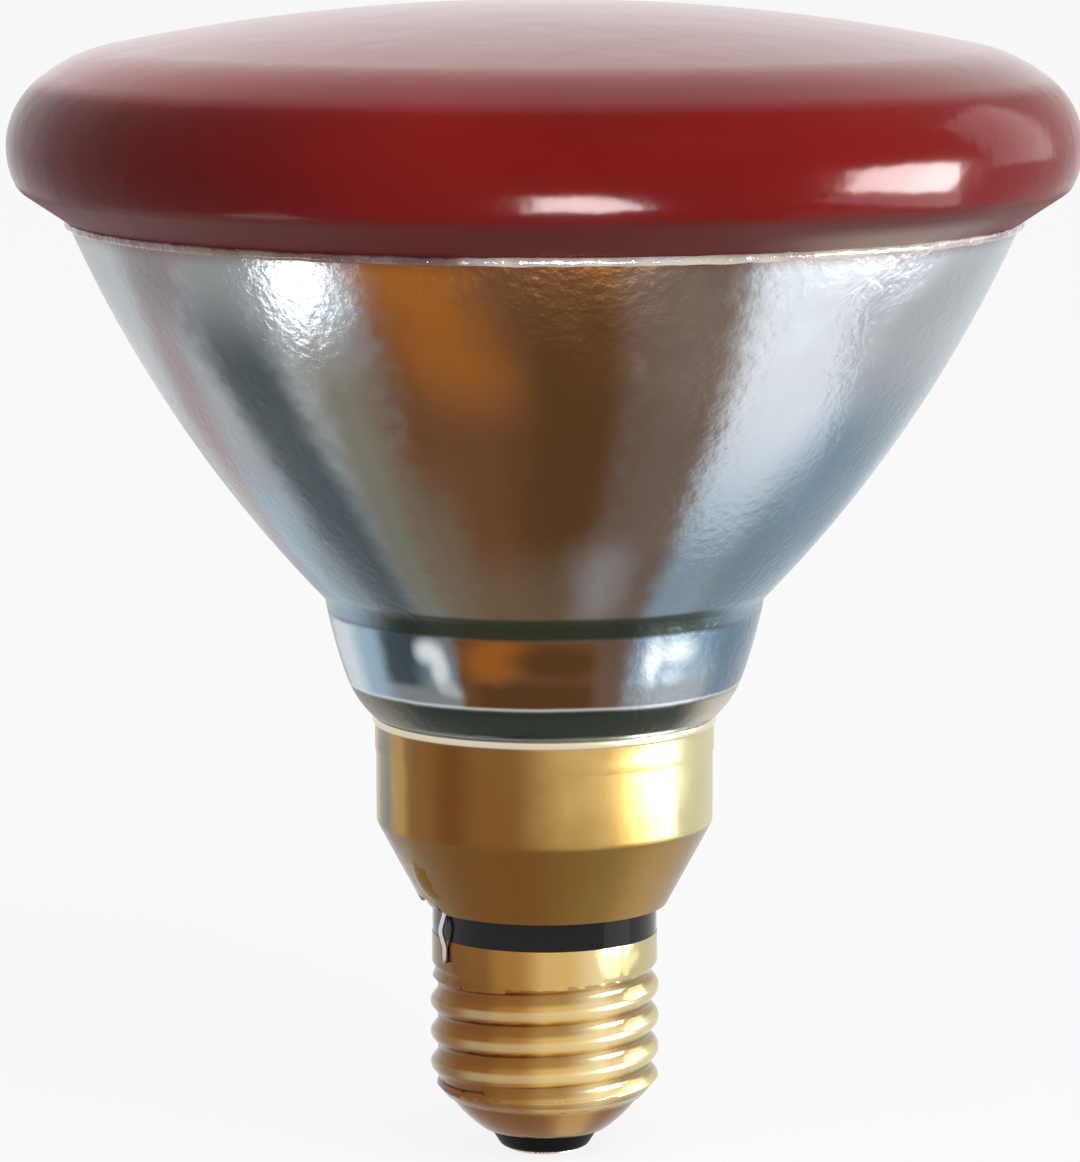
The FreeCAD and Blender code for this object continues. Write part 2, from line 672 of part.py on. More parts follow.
def make_screw_shell():
    """Brass shell: plain collar, knuckle thread that fades out at both ends, and an end cone."""
    body = new_body("screw_shell")
    section = thread_outline(body)
    helix = body.newObject("PartDesign::AdditiveHelix", "thread_helix")
    helix.Profile = section.sketch
    helix.ReferenceAxis = (section.sketch, ["V_Axis"])
    helix.Mode = "pitch-turns-angle"
    helix.setExpression("Pitch", bound("thread_pitch"))
    helix.setExpression("Turns", bound("thread_turns"))
    doc.recompute()

    outside = "thread_root + thread_depth * 2"
    revolve_cut(body, Outline(body, "upper_runout").corners([
        ("thread_root + thread_depth", "collar_bottom - thread_runout"),
        (outside, "collar_bottom - thread_runout"),
        (outside, "collar_bottom + thread_pitch"),
        ("thread_root", "collar_bottom + thread_pitch"),
        ("thread_root", "collar_bottom"),
    ]))
    revolve_cut(body, Outline(body, "lower_runout").corners([
        ("thread_foot - root_flat", "0"),
        (outside, "0"),
        (outside, "thread_low"),
        ("thread_root + thread_depth", "thread_low"),
        ("end_top_radius", "end_top - end_step"),
        ("thread_foot - root_flat", "end_top - end_step"),
    ]))
    revolve(body, Outline(body, "blank_outline").corners([
        ("0", "end_bottom"),
        ("end_bottom_radius", "end_bottom", "end_curve", 1),
        ("thread_root + root_flat", "thread_low"),
        ("thread_root + root_flat", "collar_bottom - collar_ease"),
        ("collar_radius", "collar_bottom"),
        ("collar_radius", "collar_top"),
        ("0", "collar_top"),
    ]))
    doc.recompute()
    revolve_cut(body, Outline(body, "bore_outline").corners([
        ("0", "end_bottom"),
        ("end_hole", "end_bottom"),
        ("end_hole", "end_bottom + shell_sheet"),
        ("end_bottom_radius - shell_sheet / 2", "end_bottom + shell_sheet", "end_curve", 1),
        ("thread_root - shell_sheet", "thread_low + shell_sheet"),
        ("thread_root - shell_sheet", "collar_bottom - collar_ease"),
        ("collar_radius - shell_sheet", "collar_bottom"),
        ("collar_radius - shell_sheet", "collar_top"),
        ("0", "collar_top"),
    ]))
    return body


def make_tip_insulator():
    """Black glass plug moulded into the shell's end, recessed for the contact."""
    cone_in = "(thread_root - end_bottom_radius - shell_sheet / 2) / (thread_low - end_bottom)"
    seat = "end_bottom + shell_sheet + seat_gap"
    seat_radius = "end_bottom_radius - shell_sheet - seat_gap"
    return turned("tip_insulator", [
        ("eyelet_radius", "contact_flange"),
        ("contact_radius", "contact_flange"),
        ("contact_radius", "tip_bottom"),
        ("tip_bottom_radius", "tip_bottom", "tip_round"),
        ("end_hole - seat_gap", "end_bottom"),
        ("end_hole - seat_gap", seat),
        (seat_radius, seat),
        ("%s + (tip_inner_top - (%s)) * %s" % (seat_radius, seat, cone_in), "tip_inner_top"),
        ("eyelet_radius", "tip_inner_top"),
    ])


def make_contact():
    """Centre contact: a flat flange drawn up into an eyelet."""
    return turned("centre_contact", [
        ("eyelet_bore", "0"),
        ("contact_radius", "0"),
        ("contact_radius", "contact_flange"),
        ("eyelet_radius", "contact_flange"),
        ("eyelet_radius", "eyelet_top"),
        ("eyelet_bore", "eyelet_top"),
    ])


def make_solder():
    """Solder that fills the eyelet round the end of the centre lead, level with the contact."""
    return turned("contact_solder", [
        ("0", "0"),
        ("eyelet_bore", "0"),
        ("eyelet_bore", "solder_top"),
        ("wire_radius", "solder_top"),
        ("wire_radius", "centre_lead_end"),
        ("0", "centre_lead_end"),
    ])


def make_lead(label, turn, corners):
    """A wire bent in one upright plane through the axis."""
    body = new_body(label)
    bends = [corner + ("wire_bend",) for corner in corners[1:-1]]
    path = Outline(body, label + "_path").corners(corners[:1] + bends + corners[-1:], closed=False)
    section = Outline(body, label + "_section", "XY_Plane")
    section.circle(corners[0][0], "wire_radius")
    section.sketch.AttachmentOffset = Placement(Vector(0, 0, value(corners[0][1])), Rotation())
    section.sketch.setExpression(".AttachmentOffset.Base.z", bound(corners[0][1]))
    doc.recompute()
    pipe = body.newObject("PartDesign::AdditivePipe", label + "_pipe")
    pipe.Profile = section.sketch
    pipe.Spine = (path.sketch, [])
    turn_piece(body, turn)
    return body


def make_centre_lead():
    return make_lead("centre_lead", "lead_turn - 180", [
        ("ferrule_offset", "heel_bottom + ferrule_sunk - ferrule_wall"),
        ("ferrule_offset", "lead_drop"),
        ("0", "centre_lead_meets_axis"),
        ("0", "centre_lead_end"),
    ])


def make_side_lead():
    """Comes out under the skirt, bows past the black ring and ends welded to the collar."""
    return make_lead("side_lead", "lead_turn", [
        ("ferrule_offset", "heel_bottom + ferrule_sunk - ferrule_wall"),
        ("ferrule_offset", "lead_drop"),
        ("slot_lead_radius", "slot_lead_height"),
        ("exit_lead_radius", "exit_lead_height"),
        ("bow_radius", "bow_height"),
        ("weld_radius", "weld_top"),
        ("weld_radius", "weld_bottom"),
    ])


def make_pieces():
    return [
        make_lens(), make_reflector(), make_rim_seal(),
        make_ferrule("side_ferrule", "lead_turn"),
        make_ferrule("centre_ferrule", "(lead_turn - 180)"),
        make_exhaust_tube(), make_skirt(), make_cement(), make_insulating_ring(),
        make_screw_shell(), make_tip_insulator(), make_contact(), make_solder(),
        make_centre_lead(), make_side_lead(),
    ]


def check(pieces):
    """Stops if anything in the document failed to build, or a piece isn't one sound solid."""
    for item in doc.Objects:
        if any(word in item.State for word in ("Invalid", "Error")):
            raise RuntimeError("%s failed: %s" % (item.Label, item.State))
    for piece in pieces:
        shape = piece.Shape
        if shape.isNull() or not shape.isValid() or shape.Volume <= 0 or len(shape.Solids) != 1:
            raise RuntimeError(piece.Label + " isn't one sound solid")


def write(pieces):
    os.makedirs("parts", exist_ok=True)
    for piece in pieces:
        piece.Shape.exportStep(os.path.join("parts", piece.Label + ".step"))


pieces = make_pieces()
doc.recompute()
check(pieces)
write(pieces)
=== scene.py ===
"""Looks of an infrared heat lamp: ruby lens, silvered bowl, brass cap and black glass."""
import math

import bmesh
import bpy
from bpy.props import FloatProperty, FloatVectorProperty, IntProperty, PointerProperty
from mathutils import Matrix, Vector


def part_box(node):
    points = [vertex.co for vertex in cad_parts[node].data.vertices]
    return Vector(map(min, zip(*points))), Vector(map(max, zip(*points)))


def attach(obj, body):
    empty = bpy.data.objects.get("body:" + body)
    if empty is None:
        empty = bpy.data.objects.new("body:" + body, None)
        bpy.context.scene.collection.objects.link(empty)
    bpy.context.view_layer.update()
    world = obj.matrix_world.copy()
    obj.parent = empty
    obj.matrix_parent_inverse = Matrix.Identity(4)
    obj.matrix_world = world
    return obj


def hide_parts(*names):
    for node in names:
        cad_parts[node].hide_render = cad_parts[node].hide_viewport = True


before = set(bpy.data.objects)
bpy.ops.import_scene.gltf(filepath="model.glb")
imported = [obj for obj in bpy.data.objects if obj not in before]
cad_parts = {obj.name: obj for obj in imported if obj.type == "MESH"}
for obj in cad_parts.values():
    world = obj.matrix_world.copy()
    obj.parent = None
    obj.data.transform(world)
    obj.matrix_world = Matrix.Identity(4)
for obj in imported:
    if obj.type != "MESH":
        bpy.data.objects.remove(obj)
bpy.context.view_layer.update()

bl_info = {
    "name": "Infrared heat lamp",
    "version": (1, 0, 0),
    "blender": (4, 5, 0),
    "location": "3D View > Sidebar > Heat lamp",
    "description": "Dresses the heat lamp: glass, silvering, brass, wires and the stage",
    "category": "Object",
}

LENS_LOW, LENS_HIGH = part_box("lens")
LENS_RADIUS = min(LENS_HIGH.x, LENS_HIGH.y, -LENS_LOW.x, -LENS_LOW.y)

TOUCHING = 1e-6          # metres within which two corners are one
DRILL_FACETS = 48
BEAD_SEGMENTS, BEAD_SIDES = 900, 14
BEAD_SUNK, LUMP_HEIGHT = 0.4, 0.55   # shares of the bead's radius
LUMP_SIZE = 0.0022       # metres across a lump of the fused bead
# Rings along each arc of the lens and of the reflector
LIP_RINGS, RIM_RINGS, DOME_RINGS = 8, 20, 36
BOWL_RINGS, NECK_RINGS, FOOT_RINGS = 60, 14, 10
# Borders that the finishes keep to, in metres up
BELOW_ALL, ABOVE_ALL = -1.0, 1.0
LIP_TOP, CROWN_EDGE = 0.112, 0.1236
BOWL_FOOT = 0.062
NECK_FOOT, NECK_TOP = 0.0545, 0.0634
CONE_TOP = 0.0387
THREAD_FOOT, THREAD_TOP = 0.0072, 0.0212

FLOOR_SIZE = 16
FLOOR_GLOW = 0.86        # share of the floor's look that is even brightness
AMBIENT = 0.55           # strength of the surroundings where they only light
SHOW_THROUGH = 1.0       # strength of the surroundings where they are seen


# Shapes

def start_piece():
    """Leaves nothing selected, so that the next operators act on the new piece alone."""
    if bpy.context.mode != "OBJECT":
        bpy.ops.object.mode_set(mode="OBJECT")
    bpy.ops.object.select_all(action="DESELECT")


def arc_rings(centre, radius, first, last, count):
    """Rings, as (radius, height), along an arc between two angles in degrees."""
    rings = []
    for step in range(1, count + 1):
        angle = math.radians(first + (last - first) * step / count)
        rings.append((centre[0] + radius * math.cos(angle), centre[1] + radius * math.sin(angle)))
    return rings


def arc_through(start, end, radius, count):
    """Rings along the arc between two points that bulges away from the axis."""
    half = (Vector(end) - Vector(start)) / 2
    side = Vector((half.y, -half.x)).normalized()
    if side.x > 0:
        side = -side
    middle = Vector(start) + half + side * math.sqrt(radius ** 2 - half.length_squared)
    first = math.degrees(math.atan2(start[1] - middle.y, start[0] - middle.x))
    last = math.degrees(math.atan2(end[1] - middle.y, end[0] - middle.x))
    return arc_rings(middle, radius, first, last, count)


def line_rings(start, end, count):
    """Rings along the straight line between two points."""
    return [(start[0] + (end[0] - start[0]) * step / count,
             start[1] + (end[1] - start[1]) * step / count) for step in range(1, count + 1)]


def lathe(name, rings, segments):
    """Turns a piece: a circle extruded and resized ring by ring, with both ends closed."""
    start_piece()
    radius, height = rings[0]
    bpy.ops.mesh.primitive_circle_add(vertices=segments, radius=radius, location=(0, 0, height))
    piece = bpy.context.object
    piece.name = piece.data.name = name
    bpy.ops.object.transform_apply(location=True, rotation=True, scale=True)
    bpy.ops.object.mode_set(mode="EDIT")
    bpy.ops.mesh.select_all(action="SELECT")
    for next_radius, next_height in rings[1:]:
        bpy.ops.mesh.extrude_edges_move(
            TRANSFORM_OT_translate={"value": (0, 0, next_height - height)})
        factor = next_radius / radius
        bpy.ops.transform.resize(value=(factor, factor, 1), center_override=(0, 0, 0))
        radius, height = next_radius, next_height
    close_ring(None)
    close_ring(rings[0])
    bpy.ops.mesh.select_all(action="SELECT")
    bpy.ops.mesh.normals_make_consistent(inside=False)
    bpy.ops.object.mode_set(mode="OBJECT")
    bpy.ops.object.shade_smooth()
    return piece


def close_ring(ring):
    """Closes the selected ring, or the open one at (radius, height), down to the axis."""
    if ring:
        bpy.ops.mesh.select_mode(type="VERT")
        bpy.ops.mesh.select_all(action="DESELECT")
        mesh = bmesh.from_edit_mesh(bpy.context.object.data)
        for vertex in mesh.verts:
            if vertex.is_boundary and abs(vertex.co.z - ring[1]) < TOUCHING:
                vertex.select = True
        mesh.select_flush_mode()
        bmesh.update_edit_mesh(bpy.context.object.data)
    bpy.ops.mesh.extrude_edges_move(TRANSFORM_OT_translate={"value": (0, 0, 0)})
    bpy.ops.mesh.merge(type="COLLAPSE")


def lens_rings(size):
    """The lens in section, from its seam round the rim to the crown."""
    rim = Vector((LENS_RADIUS - size.rim_curve, size.rim_height))
    crown = Vector((0, LENS_HIGH.z - size.dome_curve))
    shoulder = circles_meet(crown, size.dome_curve - size.shoulder_curve,
                            rim, size.shoulder_curve - size.rim_curve)
    seam = Vector((size.seam_radius, size.seam_height))
    uphill = Vector((math.cos(size.underside_slope), math.sin(size.underside_slope)))
    inward = Vector((-uphill.y, uphill.x))
    foot = seam + inward * size.lip_curve
    reach, aside = (rim - foot).dot(uphill), (rim - foot).dot(inward)
    lip = foot + uphill * (reach + math.sqrt((size.rim_curve - size.lip_curve) ** 2 - aside ** 2))

    def angle(start, end):
        return math.degrees(math.atan2(end.y - start.y, end.x - start.x))

    low = math.degrees(size.underside_slope) - 90
    lip_turn, rim_turn = angle(rim, lip), angle(shoulder, rim)
    shoulder_turn = angle(crown, shoulder)
    rings = [tuple(seam)]
    rings += line_rings(seam, lip - inward * size.lip_curve, LIP_RINGS)
    rings += arc_rings(lip, size.lip_curve, low, lip_turn, LIP_RINGS)
    rings += arc_rings(rim, size.rim_curve, lip_turn, rim_turn, RIM_RINGS)
    rings += arc_rings(shoulder, size.shoulder_curve, rim_turn, shoulder_turn, RIM_RINGS)
    rings += arc_rings(crown, size.dome_curve, shoulder_turn, 90, DOME_RINGS)[:-1]
    return rings


def circles_meet(first, first_radius, second, second_radius):
    """The point where two circles about two centres cross, to the left of the way between."""
    way = second - first
    along = (way.length_squared + first_radius ** 2 - second_radius ** 2) / (2 * way.length)
    unit = way.normalized()
    aside = math.sqrt(first_radius ** 2 - along ** 2)
    return first + unit * along + Vector((-unit.y, unit.x)) * aside


def reflector_rings(size):
    """The reflector in section, from the seam down the bowl and the neck to the heel."""
    seam = (size.seam_radius, size.seam_height)
    neck_top = (size.neck_top_radius, size.neck_top_height)
    neck_turn = (size.neck_turn_radius, size.neck_turn_height)
    foot = (size.neck_foot_radius, size.neck_foot_height)
    rings = [seam]
    rings += arc_through(seam, neck_top, size.bowl_curve, BOWL_RINGS)
    rings += arc_through(neck_top, neck_turn, size.neck_side_curve, NECK_RINGS)
    rings += arc_through(neck_turn, foot, size.neck_foot_curve, FOOT_RINGS)
    heel = size.heel_radius
    rings += line_rings(foot, (heel, foot[1]), 2)
    rings += line_rings((heel, foot[1]), (heel, size.heel_height + size.heel_bevel), 3)
    rings += line_rings(rings[-1], (heel - size.heel_bevel, size.heel_height), 1)
    return rings


def drilled(piece, node):
    """Drills the round recess that a node sits in, up to the node's top."""
    low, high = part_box(node)
    start_piece()
    bpy.ops.mesh.primitive_cylinder_add(
        vertices=DRILL_FACETS, radius=(high.x - low.x) / 2, depth=high.z - low.z,
        location=((low.x + high.x) / 2, (low.y + high.y) / 2, (low.z + high.z) / 2))
    drill = bpy.context.object
    start_piece()
    piece.select_set(True)
    bpy.context.view_layer.objects.active = piece
    hole = piece.modifiers.new("hole", "BOOLEAN")
    hole.object, hole.operation, hole.solver = drill, "DIFFERENCE", "EXACT"
    bpy.ops.object.modifier_apply(modifier=hole.name)
    bpy.data.meshes.remove(drill.data)


def smooth_copy(node, name, angle):
    """A copy of a CAD node's mesh, merged at its loose corners and shaded by its larger faces."""
    start_piece()
    piece = bpy.data.objects.new(name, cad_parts[node].data.copy())
    piece.data.name = name
    bpy.context.collection.objects.link(piece)
    piece.select_set(True)
    bpy.context.view_layer.objects.active = piece
    bpy.ops.object.mode_set(mode="EDIT")
    bpy.ops.mesh.select_all(action="SELECT")
    bpy.ops.mesh.remove_doubles(threshold=TOUCHING)
    bpy.ops.object.mode_set(mode="OBJECT")
    bpy.ops.object.shade_smooth_by_angle(angle=math.radians(angle))
    even = piece.modifiers.new("even", "WEIGHTED_NORMAL")
    even.keep_sharp, even.weight = True, 100
    bpy.ops.object.modifier_apply(modifier=even.name)
    return piece


def dress(piece, material, node):
    """Gives a new piece its material, hangs it on the root body and hides the node it stands for.
    """
    piece.data.materials.clear()
    piece.data.materials.append(material)
    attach(piece, "root")
    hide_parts(node)


# Shader nodes

class Tree:
    """Adds shader nodes to a material or a group."""

    def __init__(self, tree):
        self.tree = tree

    def add(self, kind, inputs=None, **settings):
        made = self.tree.nodes.new("ShaderNode" + kind)
        for name, setting in settings.items():
            setattr(made, name, setting)
        for name, source in (inputs or {}).items():
            self.feed(source, made.inputs[name])
        return made

    def feed(self, source, socket):
        """Links a socket to another one, or gives it a plain value."""
        if isinstance(source, bpy.types.NodeSocket):
            self.tree.links.new(source, socket)
        else:
            socket.default_value = source

    def math(self, operation, first, second=0.0):
        return self.add("Math", {0: first, 1: second}, operation=operation).outputs[0]

    def group(self, tree, inputs):
        made = self.add("Group", node_tree=tree)
        for name, source in inputs.items():
            self.feed(source, made.inputs[name])
        return made

    def mix(self, factor, first, second):
        """Goes from one colour to another as the factor rises."""
        made = self.add("Mix", data_type="RGBA")
        for socket, source in ((0, factor), (6, first), (7, second)):
            self.feed(source, made.inputs[socket])
        return made.outputs[2]

    def soft_step(self, value, low, high, start=0.0, end=1.0):
        return self.add("MapRange", {"Value": value, "From Min": low, "From Max": high,
                                     "To Min": start, "To Max": end},
                        interpolation_type="SMOOTHSTEP").outputs["Result"]

    def soft_fall(self, value, middle, edge):
        """1 below a value and 0 above it, softened over an edge on both sides."""
        return self.soft_step(value, self.math("SUBTRACT", middle, edge),
                              self.math("ADD", middle, edge), 1.0, 0.0)

    def between(self, value, bottom, top, edge):
        """1 between two values and 0 outside them, softened over an edge."""
        above = self.soft_step(value, self.math("SUBTRACT", bottom, edge),
                               self.math("ADD", bottom, edge))
        return self.math("MULTIPLY", above, self.soft_fall(value, top, edge))

    def waver(self, place, scale, amount, detail=2.0):
        """Noise about zero, for an edge that isn't straight."""
        waves = self.add("TexNoise", {"Vector": place, "Scale": scale, "Detail": detail})
        return self.math("MULTIPLY", self.math("SUBTRACT", waves.outputs["Fac"], 0.5), amount)

    def turned_place(self):
        """Where a point of a turned surface lies: itself, degrees from the front, and height."""
        place = self.add("TexCoord").outputs["Object"]
        x, y, z = self.add("SeparateXYZ", {"Vector": place}).outputs
        turn = self.math("ARCTAN2", x, self.math("MULTIPLY", y, -1.0))
        return place, self.math("DEGREES", turn), z


def shader_group(name, inputs, outputs):
    """An empty group with float inputs and outputs, or coloured ones, by name."""
    group = bpy.data.node_groups.new(name, "ShaderNodeTree")
    for way, sockets in (("INPUT", inputs), ("OUTPUT", outputs)):
        for socket, default in sockets.items():
            kind = "NodeSocketColor" if isinstance(default, tuple) else "NodeSocketFloat"
            made = group.interface.new_socket(name=socket, in_out=way, socket_type=kind)
            if way == "INPUT":
                made.default_value = default
    return group, Tree(group), group.nodes.new("NodeGroupInput"), group.nodes.new("NodeGroupOutput")


def make_streak_group():
    """A soft streak that runs up and down one side of a turned surface.

    Turn is in degrees from the front, towards +X."""
    group, tree, start, end = shader_group("upright_streak", {
        "Turn": 0.0, "Half width": 20.0, "Edge": 8.0, "Bottom": 0.0, "Top": 1.0, "End": 0.004,
        "Lean": 0.0, "Waver": 4.0, "Speckle": 3.0}, {"Mask": 0.0})
    place, turn, z = tree.turned_place()
    waver = tree.waver(place, 55.0, start.outputs["Waver"])
    lean = tree.math("MULTIPLY", tree.math("SUBTRACT", z, start.outputs["Bottom"]),
                     start.outputs["Lean"])
    centre = tree.math("ADD", start.outputs["Turn"], lean)
    away = tree.math("ADD", tree.math("SUBTRACT", turn, centre), waver)
    wrapped = tree.add("Math", {0: away, 1: 180.0, 2: -180.0}, operation="WRAP").outputs[0]
    speckle = tree.waver(place, 420.0, start.outputs["Speckle"], 1.0)
    aside = tree.math("ADD", tree.math("ABSOLUTE", wrapped), speckle)
    across = tree.soft_fall(aside, start.outputs["Half width"], start.outputs["Edge"])
    upright = tree.between(z, start.outputs["Bottom"], start.outputs["Top"],
                           start.outputs["End"])
    tree.feed(tree.math("MULTIPLY", across, upright), end.inputs["Mask"])
    return group


def make_band_group():
    """A level band round a turned surface, with a wavering edge."""
    group, tree, start, end = shader_group("level_band", {
        "Bottom": 0.0, "Top": 0.01, "Edge": 0.0005, "Waver": 0.0005}, {"Mask": 0.0})
    place, _, z = tree.turned_place()
    height = tree.math("ADD", z, tree.waver(place, 90.0, start.outputs["Waver"]))
    tree.feed(tree.between(height, start.outputs["Bottom"], start.outputs["Top"],
                           start.outputs["Edge"]), end.inputs["Mask"])
    return group


def make_reach_group():
    """1 near the axis and 0 far from it, between two heights: paints shade into a thread's grooves
    and, reversed, highlights onto its crests.
    """
    group, tree, start, end = shader_group("reach", {
        "Near": 0.0, "Far": 0.01, "Bottom": 0.0, "Top": 0.1}, {"Mask": 0.0})
    place = tree.add("TexCoord").outputs["Object"]
    x, y, z = tree.add("SeparateXYZ", {"Vector": place}).outputs
    level = tree.add("CombineXYZ", {"X": x, "Y": y})
    reach = tree.add("VectorMath", {0: level.outputs[0]}, operation="LENGTH").outputs["Value"]
    near = tree.soft_step(reach, start.outputs["Near"], start.outputs["Far"], 1.0, 0.0)
    above = tree.math("GREATER_THAN", z, start.outputs["Bottom"])
    below = tree.math("LESS_THAN", z, start.outputs["Top"])
    tree.feed(tree.math("MULTIPLY", near, tree.math("MULTIPLY", above, below)),
              end.inputs["Mask"])
    return group


def make_spot_group():
    """A soft round spot on one side of a turned surface, with a wavering edge."""
    group, tree, start, end = shader_group("round_spot", {
        "Turn": 0.0, "Height": 0.0, "Half width": 8.0, "Half height": 0.002, "Edge": 0.3},
        {"Mask": 0.0})
    place, turn, z = tree.turned_place()
    aside = tree.math("DIVIDE", tree.math("SUBTRACT", turn, start.outputs["Turn"]),
                      start.outputs["Half width"])
    above = tree.math("DIVIDE", tree.math("SUBTRACT", z, start.outputs["Height"]),
                      start.outputs["Half height"])
    away = tree.math("SQRT", tree.math("ADD", tree.math("MULTIPLY", aside, aside),
                                       tree.math("MULTIPLY", above, above)))
    away = tree.math("ADD", away, tree.waver(place, 160.0, 1.0))
    tree.feed(tree.soft_fall(away, 1.0, start.outputs["Edge"]), end.inputs["Mask"])
    return group


def make_grain_group():
    """Fine relief and patchy variation, for metal and glass alike."""
    group, tree, start, end = shader_group("fine_grain", {
        "Scale": 400.0, "Patch scale": 40.0, "Stretch": 1.0}, {"Grain": 0.0, "Patches": 0.0})
    place = tree.add("TexCoord").outputs["Object"]
    axes = tree.add("SeparateXYZ", {"Vector": place})
    stretched = tree.math("MULTIPLY", axes.outputs["Z"], start.outputs["Stretch"])
    point = tree.add("CombineXYZ", {"X": axes.outputs["X"], "Y": axes.outputs["Y"], "Z": stretched})
    grain = tree.add("TexNoise", {"Vector": point.outputs[0], "Scale": start.outputs["Scale"],
                                  "Detail": 3.0})
    patches = tree.add("TexNoise", {"Vector": place, "Scale": start.outputs["Patch scale"],
                                    "Detail": 3.0})
    tree.feed(grain.outputs["Fac"], end.inputs["Grain"])
    tree.feed(patches.outputs["Fac"], end.inputs["Patches"])
    return group


STREAK = make_streak_group()
BAND = make_band_group()
REACH = make_reach_group()
SPOT = make_spot_group()
GRAIN = make_grain_group()


def colour(red, green, blue):
    return (red, green, blue, 1.0)


def new_material(name, roughness, metallic=0.0, **plain):
    """A material with a Principled shader whose plain values are set on its own sockets."""
    material = bpy.data.materials.new(name)
    material.use_nodes = True
    tree = Tree(material.node_tree)
    shader = material.node_tree.nodes["Principled BSDF"]
    shader.inputs["Roughness"].default_value = roughness
    shader.inputs["Metallic"].default_value = metallic
    for socket, setting in plain.items():
        shader.inputs[socket.replace("_", " ")].default_value = setting
    return material, tree, shader


def relief(tree, shader, height, distance, strength):
    """Bump from a height over a distance in metres."""
    bump = tree.add("Bump", {"Height": height, "Distance": distance, "Strength": strength})
    tree.feed(bump.outputs["Normal"], shader.inputs["Normal"])


def colour_from(tree, shader, source):
    tree.feed(source, shader.inputs["Base Color"])


def rough_from(tree, shader, patches, low, high):
    """Roughness that changes with the patches, as handled metal and glass do."""
    tree.feed(tree.soft_step(patches, 0.3, 0.7, low, high), shader.inputs["Roughness"])


def grain_and_patches(tree, scale, patch_scale, stretch=1.0):
    made = tree.group(GRAIN, {"Scale": scale, "Patch scale": patch_scale, "Stretch": stretch})
    return made.outputs["Grain"], made.outputs["Patches"]


def streak(turn, half, edge, bottom=BELOW_ALL, top=ABOVE_ALL, end=0.004, **more):
    """An upright streak: its centre, half width and edge in degrees, and its ends in metres up."""
    return STREAK, {"Turn": turn, "Half width": half, "Edge": edge, "Bottom": bottom, "Top": top,
                    "End": end, **more}


def rim_streak(turn, half, edge):
    """A streak on the lens below its crown, where streaks would meet in a star."""
    return streak(turn, half, edge, 0.0, CROWN_EDGE, 0.0022)


def neck_streak(turn, half, edge, end=0.0006, foot=NECK_FOOT, **more):
    return streak(turn, half, edge, foot, NECK_TOP, end, **more)


def band(bottom, top, edge, waver=0.0005):
    """A level band, in metres up."""
    return BAND, {"Bottom": bottom, "Top": top, "Edge": edge, "Waver": waver}


def spot(turn, height, half_width, half_height, edge):
    """A round spot: its centre and half width in degrees, its heights in metres."""
    return SPOT, {"Turn": turn, "Height": height, "Half width": half_width,
                  "Half height": half_height, "Edge": edge}


def paint(tree, base, strokes):
    """Mixes tints over a base, one after another: (shape, tint, strength)."""
    for (group, values), tint, strength in strokes:
        mask = tree.group(group, values).outputs["Mask"]
        base = tree.mix(tree.math("MULTIPLY", mask, strength), base, tuple(tint))
    return base


def ruby_glass(look):
    """Ruby glass, hazy on its crown, glossy round its rim and dull under its lip, with painted
    light and painted shade in streaks round its rim, painted shade under its lip and a painted
    highlight by the seam on its right.
    """
    material, tree, shader = new_material("ruby_glass", 0.16, Specular_IOR_Level=0.1,
                                          Coat_Roughness=0.28, Coat_IOR=1.5)
    grain, patches = grain_and_patches(tree, 130.0, 14.0)
    red = tree.mix(tree.soft_step(patches, 0.35, 0.65), tuple(look.ruby), tuple(look.ruby_thin_and_lit))
    # Painted shade on the underside of the lip, which is also rougher
    lip = band(0.1000, LIP_TOP, 0.0010, 0.0010)
    colour_from(tree, shader, paint(tree, red, [
        # Painted shade on the rim's left and back, painted light on its right and back
        (rim_streak(-66.0, 38.0, 24.0), look.ruby_shaded, 0.85),
        (rim_streak(54.0, 34.0, 22.0), look.ruby_thin_and_lit, 0.9),
        (rim_streak(170.0, 30.0, 24.0), look.ruby_shaded, 0.6),
        (rim_streak(-140.0, 12.0, 12.0), look.ruby_thin_and_lit, 0.6),
        (lip, look.ruby_shade_under, 0.9),
        # A painted highlight along the lip by the seam, on the right
        (streak(44.0, 13.0, 9.0, 0.1000, 0.1100, 0.0010), look.seam_highlight, 0.25),
    ]))
    crown = tree.group(*band(CROWN_EDGE, ABOVE_ALL, 0.0009, 0.0004)).outputs["Mask"]
    tree.feed(tree.math("MULTIPLY", crown, 0.8), shader.inputs["Coat Weight"])
    under = tree.group(*lip).outputs["Mask"]
    tree.feed(tree.soft_step(under, 0.0, 1.0, 0.16, 0.45), shader.inputs["Roughness"])
    waves = tree.math("ADD", patches, tree.math("MULTIPLY", grain, 0.9))
    relief(tree, shader, waves, 0.0005, 0.4)
    return material


